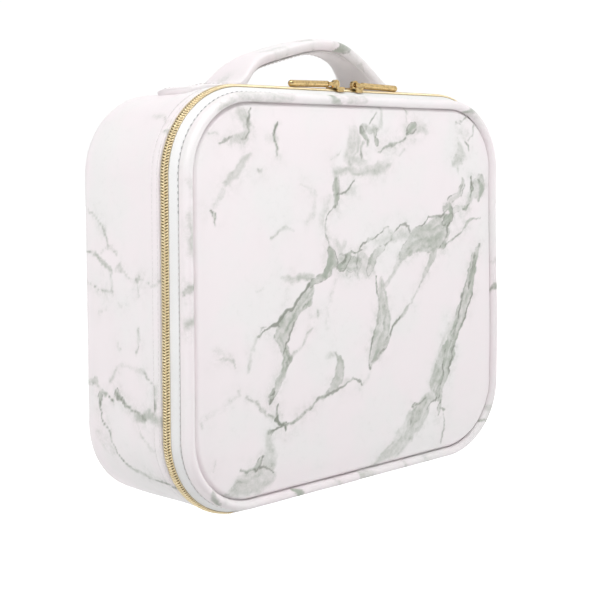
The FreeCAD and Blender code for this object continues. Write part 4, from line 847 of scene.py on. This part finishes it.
MARBLE = marble_leather()
PLAIN = plain_leather()
TAPE = woven("zip_tape", (0.90, 0.90, 0.90, 1), (0.80, 0.80, 0.80, 1), 2400)
LINING = woven("lining", (0.66, 0.645, 0.64, 1), (0.52, 0.50, 0.50, 1), 3000)
DIVIDER = woven("divider", (0.70, 0.68, 0.675, 1), (0.56, 0.545, 0.54, 1), 2600)
ELASTIC = woven("elastic", (0.80, 0.79, 0.78, 1), (0.62, 0.61, 0.60, 1), 1500, strength=0.6)
HOOK = woven("hook_tape", (0.62, 0.60, 0.59, 1), (0.40, 0.39, 0.385, 1), 1100, strength=1.0, sheen=0.4)
BINDING = woven("binding", (0.60, 0.585, 0.58, 1), (0.44, 0.43, 0.425, 1), 1800, strength=0.6)
GOLD = metal("gold", (0.74, 0.55, 0.27, 1), (0.46, 0.32, 0.14, 1), 0.08)
CHAIN = metal("chain", (0.98, 0.86, 0.60, 1), (0.86, 0.71, 0.44, 1), 0.30)
THREAD = thread("thread", (0.84, 0.80, 0.80, 1))
# dark grey thread: painted shade for the shadow in the stitch line at the roll's upper left corner
STITCH_SHADE_THREAD = thread("grey_thread", (0.42, 0.42, 0.44, 1))
# dark brown metal laid under the zip's teeth: painted shade for the gaps between them
CHAIN_SHADE_BED = metal("chain_core", (0.36, 0.27, 0.14, 1), (0.26, 0.19, 0.10, 1), 0.45)
FOAM = foam("foam", (0.80, 0.80, 0.76, 1), (0.66, 0.66, 0.62, 1))
BOARD = foam("board", (0.45, 0.40, 0.33, 1), (0.36, 0.31, 0.25, 1))


def dress(obj, material, body, nodes=()):
    """Gives a finished piece its material, its body and the CAD nodes that it stands for."""
    obj.data.materials.append(material)
    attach(obj, body)
    if nodes:
        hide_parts(*nodes)
    return obj


# ------------------------------------------------------------------ lid: front panel and edge roll

def front_panel():
    """The marbled front. Along its edge it falls away into the seam with the roll."""
    inset = 0.0095

    def height(edge, x, z):
        fold = 1 - smooth(0, 0.0026, edge)
        shoulder = 1 - smooth(0.001, 0.016, edge)
        dents = 0.00012 * ripple(x, z, 0.055, 3) * smooth(0.004, 0.03, edge)
        dents = dents + 0.00005 * ripple(x, z, 0.02, 4)
        return FRONT + 0.0003 + 0.0028 * fold + 0.0007 * shoulder + dents

    print_step = 0.00072
    obj = panel("front_panel", inset, print_step, height, ROLL_BACK - 0.0003)
    points = vertices_of(obj) * IN_MM
    print_marble(obj, points[:, 0], points[:, 2], 11, FRONT_MARKS)
    dress(obj, MARBLE, "lid", ("lid_panel", "lid_board"))


def edge_roll():
    """A round bead of leather over foam. Its back edge is sewn to the zip's tape."""
    middle, half_wide, half_deep = 0.0068, 0.0028, 0.0038
    centre, steps = FRONT + 0.0030, 24
    profile = [(0.0085, ROLL_BACK)]
    for k in range(steps + 1):
        turn = math.radians(-35 + 215 * k / steps)
        profile.append((middle + half_wide * math.cos(turn), centre - half_deep * math.sin(turn)))
    profile += [(0.0040, FRONT + 0.0036), (0.0040, FRONT + 0.0043), (0.0040, FRONT + 0.0050)]
    profile += arc((0.0045, ROLL_BACK - 0.0005), 0.0005, 180, 90, 5)

    def bulge(along, y):
        waves = 0.00014 * ripple(along, 0 * along, 0.03, 21) + 0.00007 * ripple(along, 0 * along, 0.009, 22)
        return smooth(ROLL_BACK, ROLL_BACK - 0.003, y) * waves

    obj = band("edge_roll", profile, bulge=bulge)
    flat = flat_map(obj) * IN_MM
    fainter, softer = 0.55, 1.25
    marks = [(fill, dark * fainter, soft * softer, points) for fill, dark, soft, points in ROLL_MARKS]
    print_marble(obj, flat[:, 0], flat[:, 1], 33, marks)
    dress(obj, MARBLE, "lid", ("lid_edge_roll", "lid_roll_core"))
    ring = arc((0.0094, centre), 0.0003, 0, 360, 6)[:-1]
    dress(band("roll_seam_cord", ring), THREAD, "lid")


def flat_map(obj):
    """Each vertex's place in the piece's UV map, in metres."""
    corners = np.zeros(len(obj.data.loops), int)
    obj.data.loops.foreach_get("vertex_index", corners)
    where = np.zeros(len(obj.data.loops) * 2)
    obj.data.uv_layers[0].data.foreach_get("uv", where)
    flat = np.zeros((len(obj.data.vertices), 2))
    flat[corners] = where.reshape(-1, 2)
    return flat


def path_on_outline(inset, y, start=0.0, end=None, step=0.001):
    """Points and outward normals along the outline at that inset and depth."""
    along = np.arange(start, ROUND if end is None else end, step)
    x, z, nx, nz = at_outline(along, inset)
    points = np.stack([x, np.full_like(x, y), z], 1)
    return points, np.stack([nx, np.zeros_like(nx), nz], 1)


def roll_stitches():
    """Thread beside the roll's seam: dark grey at the upper left corner, a painted shade for the shadow in
    the stitch line there, and pale further on.
    """
    dark_from, dark_to = LEFT_SIDE_START - CORNER * math.pi / 2 - 0.020, LEFT_SIDE_START + 0.022
    ends = 0.088
    for name, low, high, stuff in (
        ("corner", dark_from, dark_to, STITCH_SHADE_THREAD),
        ("rest_left", dark_to, ROUND - ends, THREAD),
        ("rest_right", ends, dark_from, THREAD),
    ):
        points, normals = path_on_outline(0.0040, ROLL_BACK + 0.0004, low, high)
        leaning = normals * 0.9 + np.array([0, -0.4, 0])
        obj = stitch_line("roll_stitches_" + name, points, leaning, 0.0034, 0.0016, 0.00018, -0.0001)
        dress(obj, stuff, "lid")


# ------------------------------------------------------------------ the zip

CHAIN_START = HINGE_HALF
CHAIN_END = ROUND - CHAIN_START


def zip_tapes():
    """The cloth beside the teeth: the lid's is sewn to the roll, the tub's goes under the hem."""
    skin = 0.0007
    lid = [(0.0008, ZIP - 0.0006), (0.0013, ZIP - 0.0024), (0.0023, ZIP - 0.0042)]
    lid += [(0.0034, ROLL_BACK + 0.0013), (0.0038, ROLL_BACK + 0.0006), (0.0050, ROLL_BACK + 0.0004)]
    lid += [(0.0062, ROLL_BACK - 0.0006)]
    base = [(0.0010, ZIP + 0.0006), (0.0009, ZIP + 0.0028), (0.0019, GUSSET_FRONT - 0.0002)]
    base += [(0.0022, GUSSET_FRONT + 0.006)]
    for body, top, width, rests_on in (
        ("lid", lid, 0.0115, "edge_roll"),
        ("base", base, 0.0105, "base_binding"),
    ):
        under = [(inset + skin, y) for inset, y in reversed(top)]
        section = fine(top + under, 0.0008)
        obj = band(body + "_zip_tape_cloth", section, TAPE_START, ROUND - TAPE_START)
        dress(obj, TAPE, body, (body + "_zip_tape",))


def zip_teeth():
    """Each half of the coil: slanting loops that reach just past the middle and lock with the others.
    The chain leans towards the front, because the lid's roll is set in from the tub's wall."""
    pitch, lean, middle = 0.0016, math.radians(11), 0.0004
    spine = [
        (-0.00042, 0.00250, -0.0004),
        (-0.00040, 0.00230, 0.00002),
        (-0.00016, 0.0016, 0.00020),
        (0.00018, 0.0006, 0.00024),
        (0.00034, -0.00015, 0.00014),
        (0.00036, -0.00045, -0.0002),
    ]
    template, faces = bar_template(spine, 0.00049, 0.00055, 8)
    depth = np.array([0.0, 1.0, 0.0])
    for body, side, shift in (("base", 1, 0.0), ("lid", -1, 0.5)):
        name = body + "_zip_teeth"
        marks = np.arange(CHAIN_START + 0.001, CHAIN_END - 0.001, pitch) + shift * pitch
        x, z, nx, nz = at_outline(marks, middle)
        places = np.stack([x, np.full_like(x, ZIP), z], 1)
        normal = np.stack([nx, np.zeros_like(nx), nz], 1)
        along = np.stack([-nz, np.zeros_like(nx), nx], 1)
        away = side * (depth * math.cos(lean) + normal * math.sin(lean))
        up = normal * math.cos(lean) - depth * math.sin(lean)
        obj = outward(copies(name, template, faces, places, np.stack([along, away, up], 1)))
        dress(obj, CHAIN, body, (body + "_zip_chain",))
        # the dark bed under the teeth, a painted shade that shows in the gaps between them, and the thread
        # that holds them to the tape
        width, top, bottom = 0.0024, 0.0002, 0.0009
        ring = []
        for away_by, deep in ((0.0, top), (width, top), (width, bottom), (0.0, bottom)):
            ring.append((middle + deep - side * away_by * math.sin(lean), ZIP + side * away_by))
        dress(band(name + "_bed", ring, CHAIN_START, CHAIN_END), CHAIN_SHADE_BED, body)
        cord_at = (middle - side * width * math.sin(lean), ZIP + side * 0.00252)
        ring = arc(cord_at, 0.00016, 0, 360, 6)[:-1]
        dress(band(name + "_cord", ring, CHAIN_START, CHAIN_END), CHAIN, body)


# ------------------------------------------------------------------ tub

def slump(y):
    """How far the soft top sinks towards the rear."""
    most = 0.0030
    return most * smooth(GUSSET_FRONT, HANDLE_Y, y)


def wall_bulge(along, y):
    """The walls' unevenness: the sunken top, full lower corners, and dents except on the bottom."""
    bottom = smooth(0.085, 0.12, np.minimum(along, ROUND - along))
    inside = smooth(GUSSET_FRONT + 0.008, GUSSET_FRONT + 0.02, y) * smooth(REAR - 0.004, REAR - 0.014, y)
    across, up = at_outline(along, 0)[2:]
    held = smooth(REAR - 0.0008, REAR - 0.007, y)
    sunk = slump(y) * held * np.maximum(up, 0)
    fullest, dent = 0.0024, 0.00022
    lower_corners = np.abs(2 * across * np.minimum(up, 0))
    full = fullest * held * smooth(GUSSET_FRONT + 0.004, 0.030, y) * lower_corners
    return full - sunk - dent * bottom * inside * (1 + ripple(along, y, 0.045, 41))


def gusset():
    """The tub's wall, with a stitched hem at the zip and a rounded edge at the rear."""
    hem_back, rounding, print_step = GUSSET_FRONT + 0.007, 0.009, 0.00085
    path = [(0.0019, GUSSET_FRONT + 0.0003)] + arc((0.0010, GUSSET_FRONT + 0.0010), 0.0010, 270, 180, 6)
    groove_one, groove_two = GUSSET_FRONT + 0.0016, GUSSET_FRONT + 0.0062
    groove_deep, groove_half = 0.00022, 0.0006
    wall = [GUSSET_FRONT + 0.0012]
    for groove in (groove_one, groove_two):
        wall += [groove + step for step in (-0.0005, -0.0002, 0, 0.0002, 0.0005)]
    wall += list(np.arange(groove_two + 0.0012, REAR - rounding, print_step))
    for y in wall:
        dip = max(groove_deep * (1 - abs(y - g) / groove_half) for g in (groove_one, groove_two))
        path.append((max(dip, 0.0), y))
    path += arc((rounding, REAR - rounding), rounding, 180, 90, 16)
    path += [(0.0100, REAR), (0.0108, REAR - 0.0001), (0.0113, REAR - 0.0006), (0.0113, REAR - 0.0014)]
    path += [(0.009, REAR - 0.0014), (0.0035, REAR - 0.004), (0.0014, REAR - 0.010)]
    path += [(0.0014, hem_back), (0.0021, hem_back - 0.0004), (0.0021, GUSSET_FRONT + 0.001)]
    obj = band("gusset", path, bulge=wall_bulge)
    flat = flat_map(obj)
    along = flat[:, 0]
    up = (HEIGHT - CORNER - (along - LEFT_SIDE_START)) * IN_MM
    on_left = smooth(-40, -20, up) * smooth(275, 255, up)
    deep = flat[:, 1] * IN_MM + GUSSET_FRONT * IN_MM
    print_marble(obj, deep, up, 51, SIDE_MARKS, on_left)
    marks = wandering(52, (0, GUSSET_FRONT * IN_MM), (ROUND * IN_MM, 62), 56, 34, 0.7)
    print_marble(obj, along * IN_MM, deep, 54, marks, 1 - on_left)
    nodes = ("base_gusset", "base_foam_wall")
    dress(obj, MARBLE, "base", nodes)
    for number, y in (("one", groove_one), ("two", groove_two)):
        path, normals = path_on_outline(0.00005, y)
        obj = stitch_line(f"hem_stitches_{number}", path, normals, 0.0030, 0.0026, 0.00015, 0.00016)
        dress(obj, THREAD, "base")


def back_panel():
    def height(edge, x, z):
        crown = smooth(0, 0.008, edge)
        dents = 0.00012 * ripple(x, z, 0.05, 61)
        return REAR - 0.0016 + 0.0012 * crown + dents

    obj = panel("back_leather", 0.0148, 0.0014, height, REAR - 0.0046)
    points = vertices_of(obj) * IN_MM
    marks = wandering(62, (-125, 10), (125, 232), 34, 14, 0.9, (4, 10), 7)
    print_marble(obj, points[:, 0], points[:, 2], 64, marks)
    dress(obj, MARBLE, "base", ("back_panel", "back_board"))
    obj = band("piping", arc((0.0130, REAR - 0.0011), 0.0014, 0, 360, 12)[:-1])
    points = vertices_of(obj) * IN_MM
    marks = wandering(65, (-135, 0), (135, 240), 30, 16, 0.9)
    print_marble(obj, points[:, 0], points[:, 2], 66, marks)
    dress(obj, MARBLE, "base", ("rear_piping",))


def hinge_strip():
    """A strip of leather along the bottom, sewn to the lid's roll and to the tub. Between them its section
    bows out over the zip.
    """
    thick = 0.0013
    top, under = [], []
    for y in np.linspace(ROLL_BACK - 0.0014, GUSSET_FRONT + 0.0012, 27):
        low = 0.0003 + 0.0030 * smooth(ZIP - 0.0010, ROLL_BACK - 0.0012, y)
        low = low + 0.0010 * smooth(GUSSET_FRONT - 0.0006, GUSSET_FRONT + 0.0008, y)
        top.append((low, y))
        under.append((low + thick, y))
    obj = band("hinge_strip", top + under[::-1], ROUND - HINGE_HALF, ROUND + HINGE_HALF)
    obj.data.materials.append(PLAIN)
    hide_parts("hinge_strip_base", "hinge_strip_lid")
    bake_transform(obj)


# ------------------------------------------------------------------ handle

def handle_line():
    """The middle of the handle's top leather: feet that follow the case, a hollow, and a long crown."""
    knots = np.array([
        (-0.096, 0.2400), (-0.090, 0.2414), (-0.083, 0.2420), (-0.075, 0.2422), (-0.068, 0.2426),
        (-0.063, 0.2438), (-0.0595, 0.2458), (-0.0565, 0.2486), (-0.053, 0.2520), (-0.049, 0.2550),
        (-0.045, 0.2570), (-0.040, 0.2587), (-0.032, 0.2611), (-0.020, 0.2645), (-0.006, 0.2682),
        (0.006, 0.2704), (0.014, 0.2709), (0.022, 0.2706), (0.030, 0.2690), (0.038, 0.2658),
        (0.045, 0.2615), (0.050, 0.2573), (0.0545, 0.2528), (0.059, 0.2486), (0.064, 0.2452),
        (0.070, 0.2434), (0.077, 0.2425), (0.085, 0.2420), (0.092, 0.2413), (0.098, 0.2400),
    ])
    rough = path_length(knots)
    count, rounds = 180, 9
    where = np.linspace(0, rough[-1], count)
    line = np.stack([np.interp(where, rough, knots[:, k]) for k in range(2)], 1)
    for _ in range(rounds):
        line[1:-1] = (line[:-2] + 2 * line[1:-1] + line[2:]) / 4
    return line


def handle():
    """The padded leather strap: flat feet, a rounder and narrower grip."""
    line = handle_line()
    along = path_length(line)
    ahead = np.gradient(line, axis=0)
    ahead /= np.linalg.norm(ahead, axis=1, keepdims=True)
    up = np.stack([-ahead[:, 1], ahead[:, 0]], 1)
    x = line[:, 0]
    grip = smooth(0.060, 0.034, np.abs(x))
    half_width = 0.0190 - 0.0060 * smooth(0.064, 0.036, np.abs(x))
    half_width = half_width - 0.0030 * smooth(0.091, 0.096, np.abs(x))
    rise = 0.0020 + 0.0009 * grip
    drop = 0.0040 + 0.0015 * grip + 0.0012 * np.exp(-(((np.abs(x) - 0.063) / 0.005) ** 2))
    wobble = 1 + 0.02 * ripple(along, 0 * along, 0.02, 71)
    sides, off_the_marks = 44, 60
    points, flat = [], []
    for i in range(len(line)):
        power = 0.42 + 0.24 * grip[i]
        for s in range(sides):
            turn = 2 * math.pi * s / sides
            c, n = math.cos(turn), math.sin(turn)
            across = half_width[i] * wobble[i] * math.copysign(abs(c) ** power, c)
            high = (rise[i] if n > 0 else drop[i]) * math.copysign(abs(n) ** (0.9 if n > 0 else power), n)
            if n < 0:
                across *= 1 - 0.10 * grip[i] * abs(n)
            sunk = slump(HANDLE_Y + across) * (1 - grip[i])
            place = line[i] + up[i] * high
            points.append((place[0], HANDLE_Y + across, place[1] - sunk))
            underneath = n < 0 and abs(c) < 0.7
            flat.append((line[i, 0] * IN_MM, across * IN_MM + (off_the_marks if underneath else 0)))
    faces = grid_faces(len(line), sides, False, True) + end_caps(len(line), sides)
    obj = outward(new_mesh("handle_leather", points, faces))
    flat = np.array(flat)
    marks = HANDLE_MARKS + wandering(72, (-95, 0), (95, 18), 8, 6, 0.9, (1, 2), 3)
    print_marble(obj, flat[:, 0], flat[:, 1], 74, marks)
    dress(obj, MARBLE, "base", ("handle_strap", "handle_core"))
    handle_lower(line, up, half_width, drop)
    handle_stitches(line, up, half_width, drop)


def handle_lower(line, up, half_width, drop):
    """The plain strip sewn under the handle, a little narrower than the leather."""
    points, uv = [], []
    along = path_length(line)
    across = np.linspace(-1, 1, 19)
    depth, thick = drop - 0.0002, 0.0006
    for layer in (0.0, thick):
        for i in range(len(line)):
            for a in across:
                sink = depth[i] + layer - 0.0004 * abs(a) ** 3
                place = line[i] - up[i] * sink
                y = HANDLE_Y + a * (half_width[i] - 0.0036)
                points.append((place[0], y, place[1] - slump(y) * smooth(0.034, 0.060, abs(line[i, 0]))))
                uv.append((along[i], a * 0.013))
    faces = two_layers(len(line), len(across), True)
    obj = outward(new_mesh("handle_under", points, faces, uv))
    dress(obj, PLAIN, "base", ("handle_underside",))


def handle_stitches(line, up, half_width, drop):
    """A row along each edge of the plain strip, and a box at each foot."""
    count, between_feet = len(line), slice(40, -40)
    for side, sign in (("front", -1), ("rear", 1)):
        edge = HANDLE_Y + sign * (half_width - 0.0054)
        low = line - up * (drop + 0.00042)[:, None]
        path = np.stack([low[:, 0], edge, low[:, 1]], 1)[between_feet]
        normals = np.stack([-up[:, 0], np.zeros(count), -up[:, 1]], 1)[between_feet]
        obj = stitch_line(f"handle_under_stitches_{side}", path, normals, 0.0032, 0.0024, 0.00024)
        dress(obj, THREAD, "base")
    for foot, sign in (("left", -1), ("right", 1)):
        inner, outer, half = 0.0680, 0.0910, 0.0150
        corners = [(inner, -half), (outer, -half), (outer, half), (inner, half), (inner, -half)]
        ring = fine(corners, 0.0008)
        xs = np.array([c[0] for c in ring]) * sign
        ys = np.array([c[1] for c in ring]) + HANDLE_Y
        order = np.argsort(line[:, 0])
        z = np.interp(xs, line[order, 0], line[order, 1]) + 0.00195 - slump(ys)
        path = np.stack([xs, ys, z], 1)
        normals = np.tile([0.0, 0.0, 1.0], (len(path), 1))
        obj = stitch_line(f"handle_foot_stitches_{foot}", path, normals, 0.0032, 0.0025, 0.00024, 0.0001)
        dress(obj, THREAD, "base")


# ------------------------------------------------------------------ inside

def base_inside():
    """The tub's lining, and the bindings over the seams of the tub and of the lid."""
    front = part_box("base_lining")[0].y
    wall, floor = LINING_INSET, LINING_FLOOR
    skin = 0.0008
    rounding = 0.006
    path = [(wall, front)] + [(wall, y) for y in np.arange(front + 0.002, floor - rounding - 0.0005, 0.003)]
    path += arc((wall + rounding, floor - rounding), rounding, 180, 90, 8)
    path += [(wall + 0.012, floor), (wall + 0.012, floor - skin)]
    path += arc((wall + rounding, floor - rounding), rounding - skin, 90, 180, 8)
    path += [(wall + skin, front)]

    def bulge(along, y):
        return -0.00015 * (1 + ripple(along, y, 0.03, 81)) * smooth(front, front + 0.01, y)

    obj = band("lining_walls", path, bulge=bulge)
    dress(obj, LINING, "base", ("base_lining",))

    def height(edge, x, z):
        return floor - skin - 0.0001 + 0.0002 * ripple(x, z, 0.03, 82)

    obj = panel("lining_floor", wall + 0.011, 0.003, height, floor)
    dress(obj, LINING, "base")
    for body, low, high, depth in (
        ("base", GUSSET_FRONT + 0.0004, GUSSET_FRONT + 0.0088, 0.0034),
        ("lid", ROLL_BACK + 0.0011, ZIP - 0.0048, 0.0050),
    ):
        bow = depth + skin
        ring = [(depth, low), (depth - 0.0001, (low + high) / 2), (depth, high)]
        ring += [(bow, high), (bow + 0.0001, (low + high) / 2), (bow, low)]
        obj = band(body + "_binding", fine(ring, 0.001))
        dress(obj, BINDING, body, (body + "_seam_binding",))


def rounded_pad(name, low, high, radius, swell, step=0.003):
    """A padded slab: a rounded box whose broad faces swell a little in the middle."""
    low, high = np.array(low), np.array(high)
    size = high - low
    counts = np.maximum(2, np.round(size / step).astype(int))
    mesh = bmesh.new()
    bmesh.ops.create_cube(mesh, size=1.0)
    for axis in range(3):
        for k in range(1, counts[axis]):
            place, normal = [0.0, 0.0, 0.0], [0.0, 0.0, 0.0]
            place[axis], normal[axis] = k / counts[axis] - 0.5, 1.0
            whole = mesh.verts[:] + mesh.edges[:] + mesh.faces[:]
            bmesh.ops.bisect_plane(mesh, geom=whole, plane_co=place, plane_no=normal)
    data = bpy.data.meshes.new(name)
    mesh.to_mesh(data)
    mesh.free()
    thin = int(np.argmin(size))
    points = np.zeros(len(data.vertices) * 3)
    data.vertices.foreach_get("co", points)
    points = points.reshape(-1, 3) * 2
    reach = [k for k in range(3) if k != thin]
    fall = (1 - points[:, reach[0]] ** 4) * (1 - points[:, reach[1]] ** 4)
    half = size / 2
    scaled = points * half
    inner = np.clip(scaled, -(half - radius), half - radius)
    away = scaled - inner
    length = np.linalg.norm(away, axis=1, keepdims=True)
    drawn_in = away / np.maximum(length, TINY) * np.minimum(length, radius)
    scaled = inner + np.where(length > TINY, drawn_in, 0)
    scaled[:, thin] += points[:, thin] * swell * (fall - 0.35)
    place = (low + high) / 2 + scaled
    data.vertices.foreach_set("co", place.ravel())
    layer = data.uv_layers.new(name="UVMap")
    corners = np.zeros(len(data.loops), int)
    data.loops.foreach_get("vertex_index", corners)
    layer.data.foreach_set("uv", place[:, reach][corners].ravel())
    data.shade_smooth()
    return placed(name, data)


def dividers():
    """The shelf and the four uprights, each with a bound front edge and a strip of hooks at both ends."""
    places = [f"{level}_{side}" for level in ("upper", "lower") for side in ("left", "right")]
    hook_thick = 0.0008
    for node in ["divider_shelf"] + ["divider_" + place for place in places]:
        body = "base" if node == "divider_shelf" else node
        low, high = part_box(node)
        pad = rounded_pad(node + "_pad", low, high, 0.0014, 0.0004)
        dress(pad, DIVIDER, body, (node,))
        binding_edge(node, low, high, body)
        axis = 0 if node == "divider_shelf" else 2
        for number in ("one", "two"):
            a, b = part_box(node + "_hooks")
            a, b = Vector(a), Vector(b)
            if number == "one":
                b[axis] = a[axis] + hook_thick
            else:
                a[axis] = b[axis] - hook_thick
            strip = rounded_pad(f"{node}_hook_{number}", a, b, 0.0003, 0.0, 0.002)
            dress(strip, HOOK, body, (node + "_hooks",) if number == "one" else ())


def binding_edge(node, low, high, body):
    """A folded ribbon along the pad's front edge."""
    axis, thin = (0, 2) if node == "divider_shelf" else (2, 0)
    a, b = Vector(low), Vector(high)
    a[axis] += 0.002
    b[axis] -= 0.002
    a.y, b.y = low.y - 0.0004, low.y + 0.0075
    a[thin] -= 0.00035
    b[thin] += 0.00035
    dress(rounded_pad(node + "_binding", a, b, 0.0012, 0.0), BINDING, body)


def lid_inside():
    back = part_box("lid_lining")[1].y

    def lining(edge, x, z):
        return back + 0.00012 * ripple(x, z, 0.03, 91)

    obj = panel("lid_lining_cloth", LINING_INSET, 0.003, lining, ROLL_BACK + 0.0001)
    dress(obj, LINING, "lid", ("lid_lining",))
    low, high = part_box("brush_board")
    centre = (low.z + high.z) / 2
    half = (high.x, (high.z - low.z) / 2)

    def board(edge, x, z):
        return high.y - 0.0012 + 0.0012 * smooth(0, 0.005, edge)

    obj = panel("brush_board_pad", 0, 0.003, board, low.y, centre, half, 0.012)
    dress(obj, DIVIDER, "lid", ("brush_board",))
    brush_pocket()
    elastic_loops()


def brush_pocket():
    """A pocket sewn down in channels for brushes, with a hem along its top."""
    low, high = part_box("brush_pocket")
    centre = (low.z + high.z) / 2
    half = (high.x, (high.z - low.z) / 2)
    pitch = half[0] / 4

    def height(edge, x, z):
        channel = np.abs(np.sin(np.pi * x / pitch)) ** 0.7
        hem = smooth(high.z - 0.010, high.z - 0.0092, z) * 0.0003
        return low.y + 0.0004 + 0.0010 * smooth(0, 0.003, edge) * channel + hem

    obj = panel("brush_pocket_cloth", 0, 0.0016, height, low.y, centre, half, 0.008)
    dress(obj, LINING, "lid", ("brush_pocket",))
    seams = 7
    for k in range(seams):
        z = np.arange(low.z + 0.004, high.z - 0.003, 0.001)
        x = (k - seams // 2) * pitch
        path = np.stack([np.full_like(z, x), np.full_like(z, low.y + 0.0007), z], 1)
        normals = np.tile([0.0, 1.0, 0.0], (len(z), 1))
        obj = stitch_line(f"pocket_stitches_{k}", path, normals, 0.003, 0.0023, 0.00025)
        dress(obj, THREAD, "lid")


def elastic_loops():
    """A ribbon of elastic that stands out in eight loops."""
    low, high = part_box("brush_elastic")
    pitch = (high.x - low.x) / 8
    xs = np.arange(low.x, high.x + 0.0001, pitch / 24)
    zs = np.linspace(low.z, high.z, 14)
    share = np.mod((xs - low.x) / pitch, 1.0)
    rise = (high.y - low.y - 0.0009) * np.sin(np.pi * share) ** 0.6
    points, uv = [], []
    for layer in (0.0007, 0.0):
        for x, lift in zip(xs, rise):
            for z in zs:
                points.append((x, low.y + 0.0001 + lift + layer, z))
                uv.append((x, z))
    faces = two_layers(len(xs), len(zs), False)
    obj = outward(new_mesh("elastic_ribbon", points, faces, uv))
    dress(obj, ELASTIC, "lid", ("brush_elastic",))


def fuller_side():
    """The soft case leans out a little at its lower right side, most at the front."""
    leaning_by = 0.0040
    outer = ("front_panel", "edge_roll", "roll_", "lid_zip", "base_zip", "gusset", "hem_", "lining_walls")
    outer += ("lid_lining", "base_binding", "lid_binding")
    for obj in bpy.context.scene.objects:
        if obj.type == "MESH" and "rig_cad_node" not in obj and obj.name.startswith(outer):
            points = vertices_of(obj)
            weight = smooth(0.075, 0.135, points[:, 0]) * smooth(0.190, 0.065, points[:, 2])
            points[:, 0] += leaning_by * weight * smooth(REAR, ZIP, points[:, 1])
            obj.data.vertices.foreach_set("co", points.ravel())
            obj.data.update()


# ------------------------------------------------------------------ stage

def white_floor():
    """A pale floor that glows further out, so that the ground behind the case is white."""
    # as low as the lid reaches when it hangs open
    level = -HEIGHT - 0.012
    reach = 8.0
    mesh = bpy.data.meshes.new("floor")
    signs = ((-1, -1), (1, -1), (1, 1), (-1, 1))
    mesh.from_pydata([(a * reach, b * reach, level) for a, b in signs], [], [(0, 1, 2, 3)])
    floor = placed("floor", mesh)
    made = new_material("floor_white")
    where = made.place()
    shade = made.noise(where, 3.0, 2.0)
    # the darker part, which shades the case from below, lies a little towards the camera
    away = made.vector("LENGTH", made.vector("ADD", where, (0.12, 0.13, -level))[0])["Value"]
    glow = made.between(away, 0.22, 0.9, 0.0, 0.80)
    pale = made.mix(shade, (0.95, 0.95, 0.95, 1), (0.97, 0.97, 0.97, 1))
    near = made.mix(shade, (0.56, 0.56, 0.56, 1), (0.60, 0.60, 0.60, 1))
    made.finish(Base_Color=made.mix(made.between(away, 0.18, 0.52), near, pale), Roughness=0.75)
    mesh.materials.append(made.finish(Emission_Color=(1, 1, 1, 1), Emission_Strength=glow))


def white_studio():
    """Soft light from all round, brightest behind the case and to its right, and dark behind the camera."""
    sky = Nodes(bpy.data.worlds.new("studio"), "Background")
    bpy.context.scene.world = sky.owner
    direction = sky.place("Generated")
    from_camera = (0.684, 0.729, 0.0)
    facing = sky.vector("DOT_PRODUCT", direction, from_camera)["Value"]
    ahead = sky.between(facing, 0.60, 0.88, 0.27, 1.03)
    across = sky.add("ShaderNodeSeparateXYZ", {0: direction}).outputs[0]
    right = sky.between(across, 0.0, 1.0, 0.27, 1.25, "LINEAR")
    darker = sky.between(facing, -0.97, -0.88, 0.04, 1.0)
    level = sky.math("MULTIPLY", sky.math("MAXIMUM", ahead, right), darker)
    sky.finish(Color=(1, 1, 1, 1), Strength=level)


def softbox(name, place, aim, size, power):
    light = bpy.data.lights.new(name, "AREA")
    light.shape = "SQUARE"
    light.size, light.energy = size, power
    turned_to(placed(name, light), place, Vector(aim) - Vector(place))


def turned_to(obj, place, direction):
    """Puts a light or a camera at a place, looking that way."""
    obj.location = place
    obj.rotation_mode = "QUATERNION"
    obj.rotation_quaternion = direction.to_track_quat("-Z", "Y")


def camera():
    """The lens and the place from which the case is seen: low, and from the front left."""
    lens = bpy.data.cameras.new("camera")
    lens.lens = 71.04
    lens.sensor_width = 36.0
    lens.shift_y = -0.0727
    turn, tilt = math.radians(-43.19), math.radians(5.04)
    back = Vector((math.sin(turn) * math.cos(tilt), -math.cos(turn) * math.cos(tilt), math.sin(tilt)))
    bpy.context.scene.camera = placed("camera", lens)
    turned_to(bpy.context.scene.camera, (-0.50867, -0.53617, 0.20316), -back)
    bpy.context.scene.view_settings.view_transform = "Standard"


def paint_nodes():
    """Materials for the CAD nodes that stay on show."""
    by_name = {"gold": GOLD, "chain": CHAIN, "foam": FOAM, "board": BOARD, "plain_leather": PLAIN}
    slots = {s["node"]: s["material_slot"] for s in frame["record"]["subparts"]}
    for name, node in frame["nodes"].items():
        material = by_name.get(slots.get(name), LINING)
        for index in range(max(1, len(node.material_slots))):
            if not node.material_slots:
                node.data.materials.append(material)
            node.material_slots[index].material = material


paint_nodes()
front_panel()
edge_roll()
roll_stitches()
zip_tapes()
zip_teeth()
gusset()
back_panel()
hinge_strip()
handle()
base_inside()
dividers()
lid_inside()
fuller_side()
white_floor()
white_studio()
softbox("front", (-0.35, -0.50, 1.00), (-0.05, 0, 0.15), 0.6, 5.2)
softbox("side", (-0.90, 0.10, 0.90), (-0.10, 0, 0.15), 0.6, 3.2)
softbox("top", (0.0, 0.1, 2.0), (0, 0, 0.12), 2.4, 7.5)
camera()
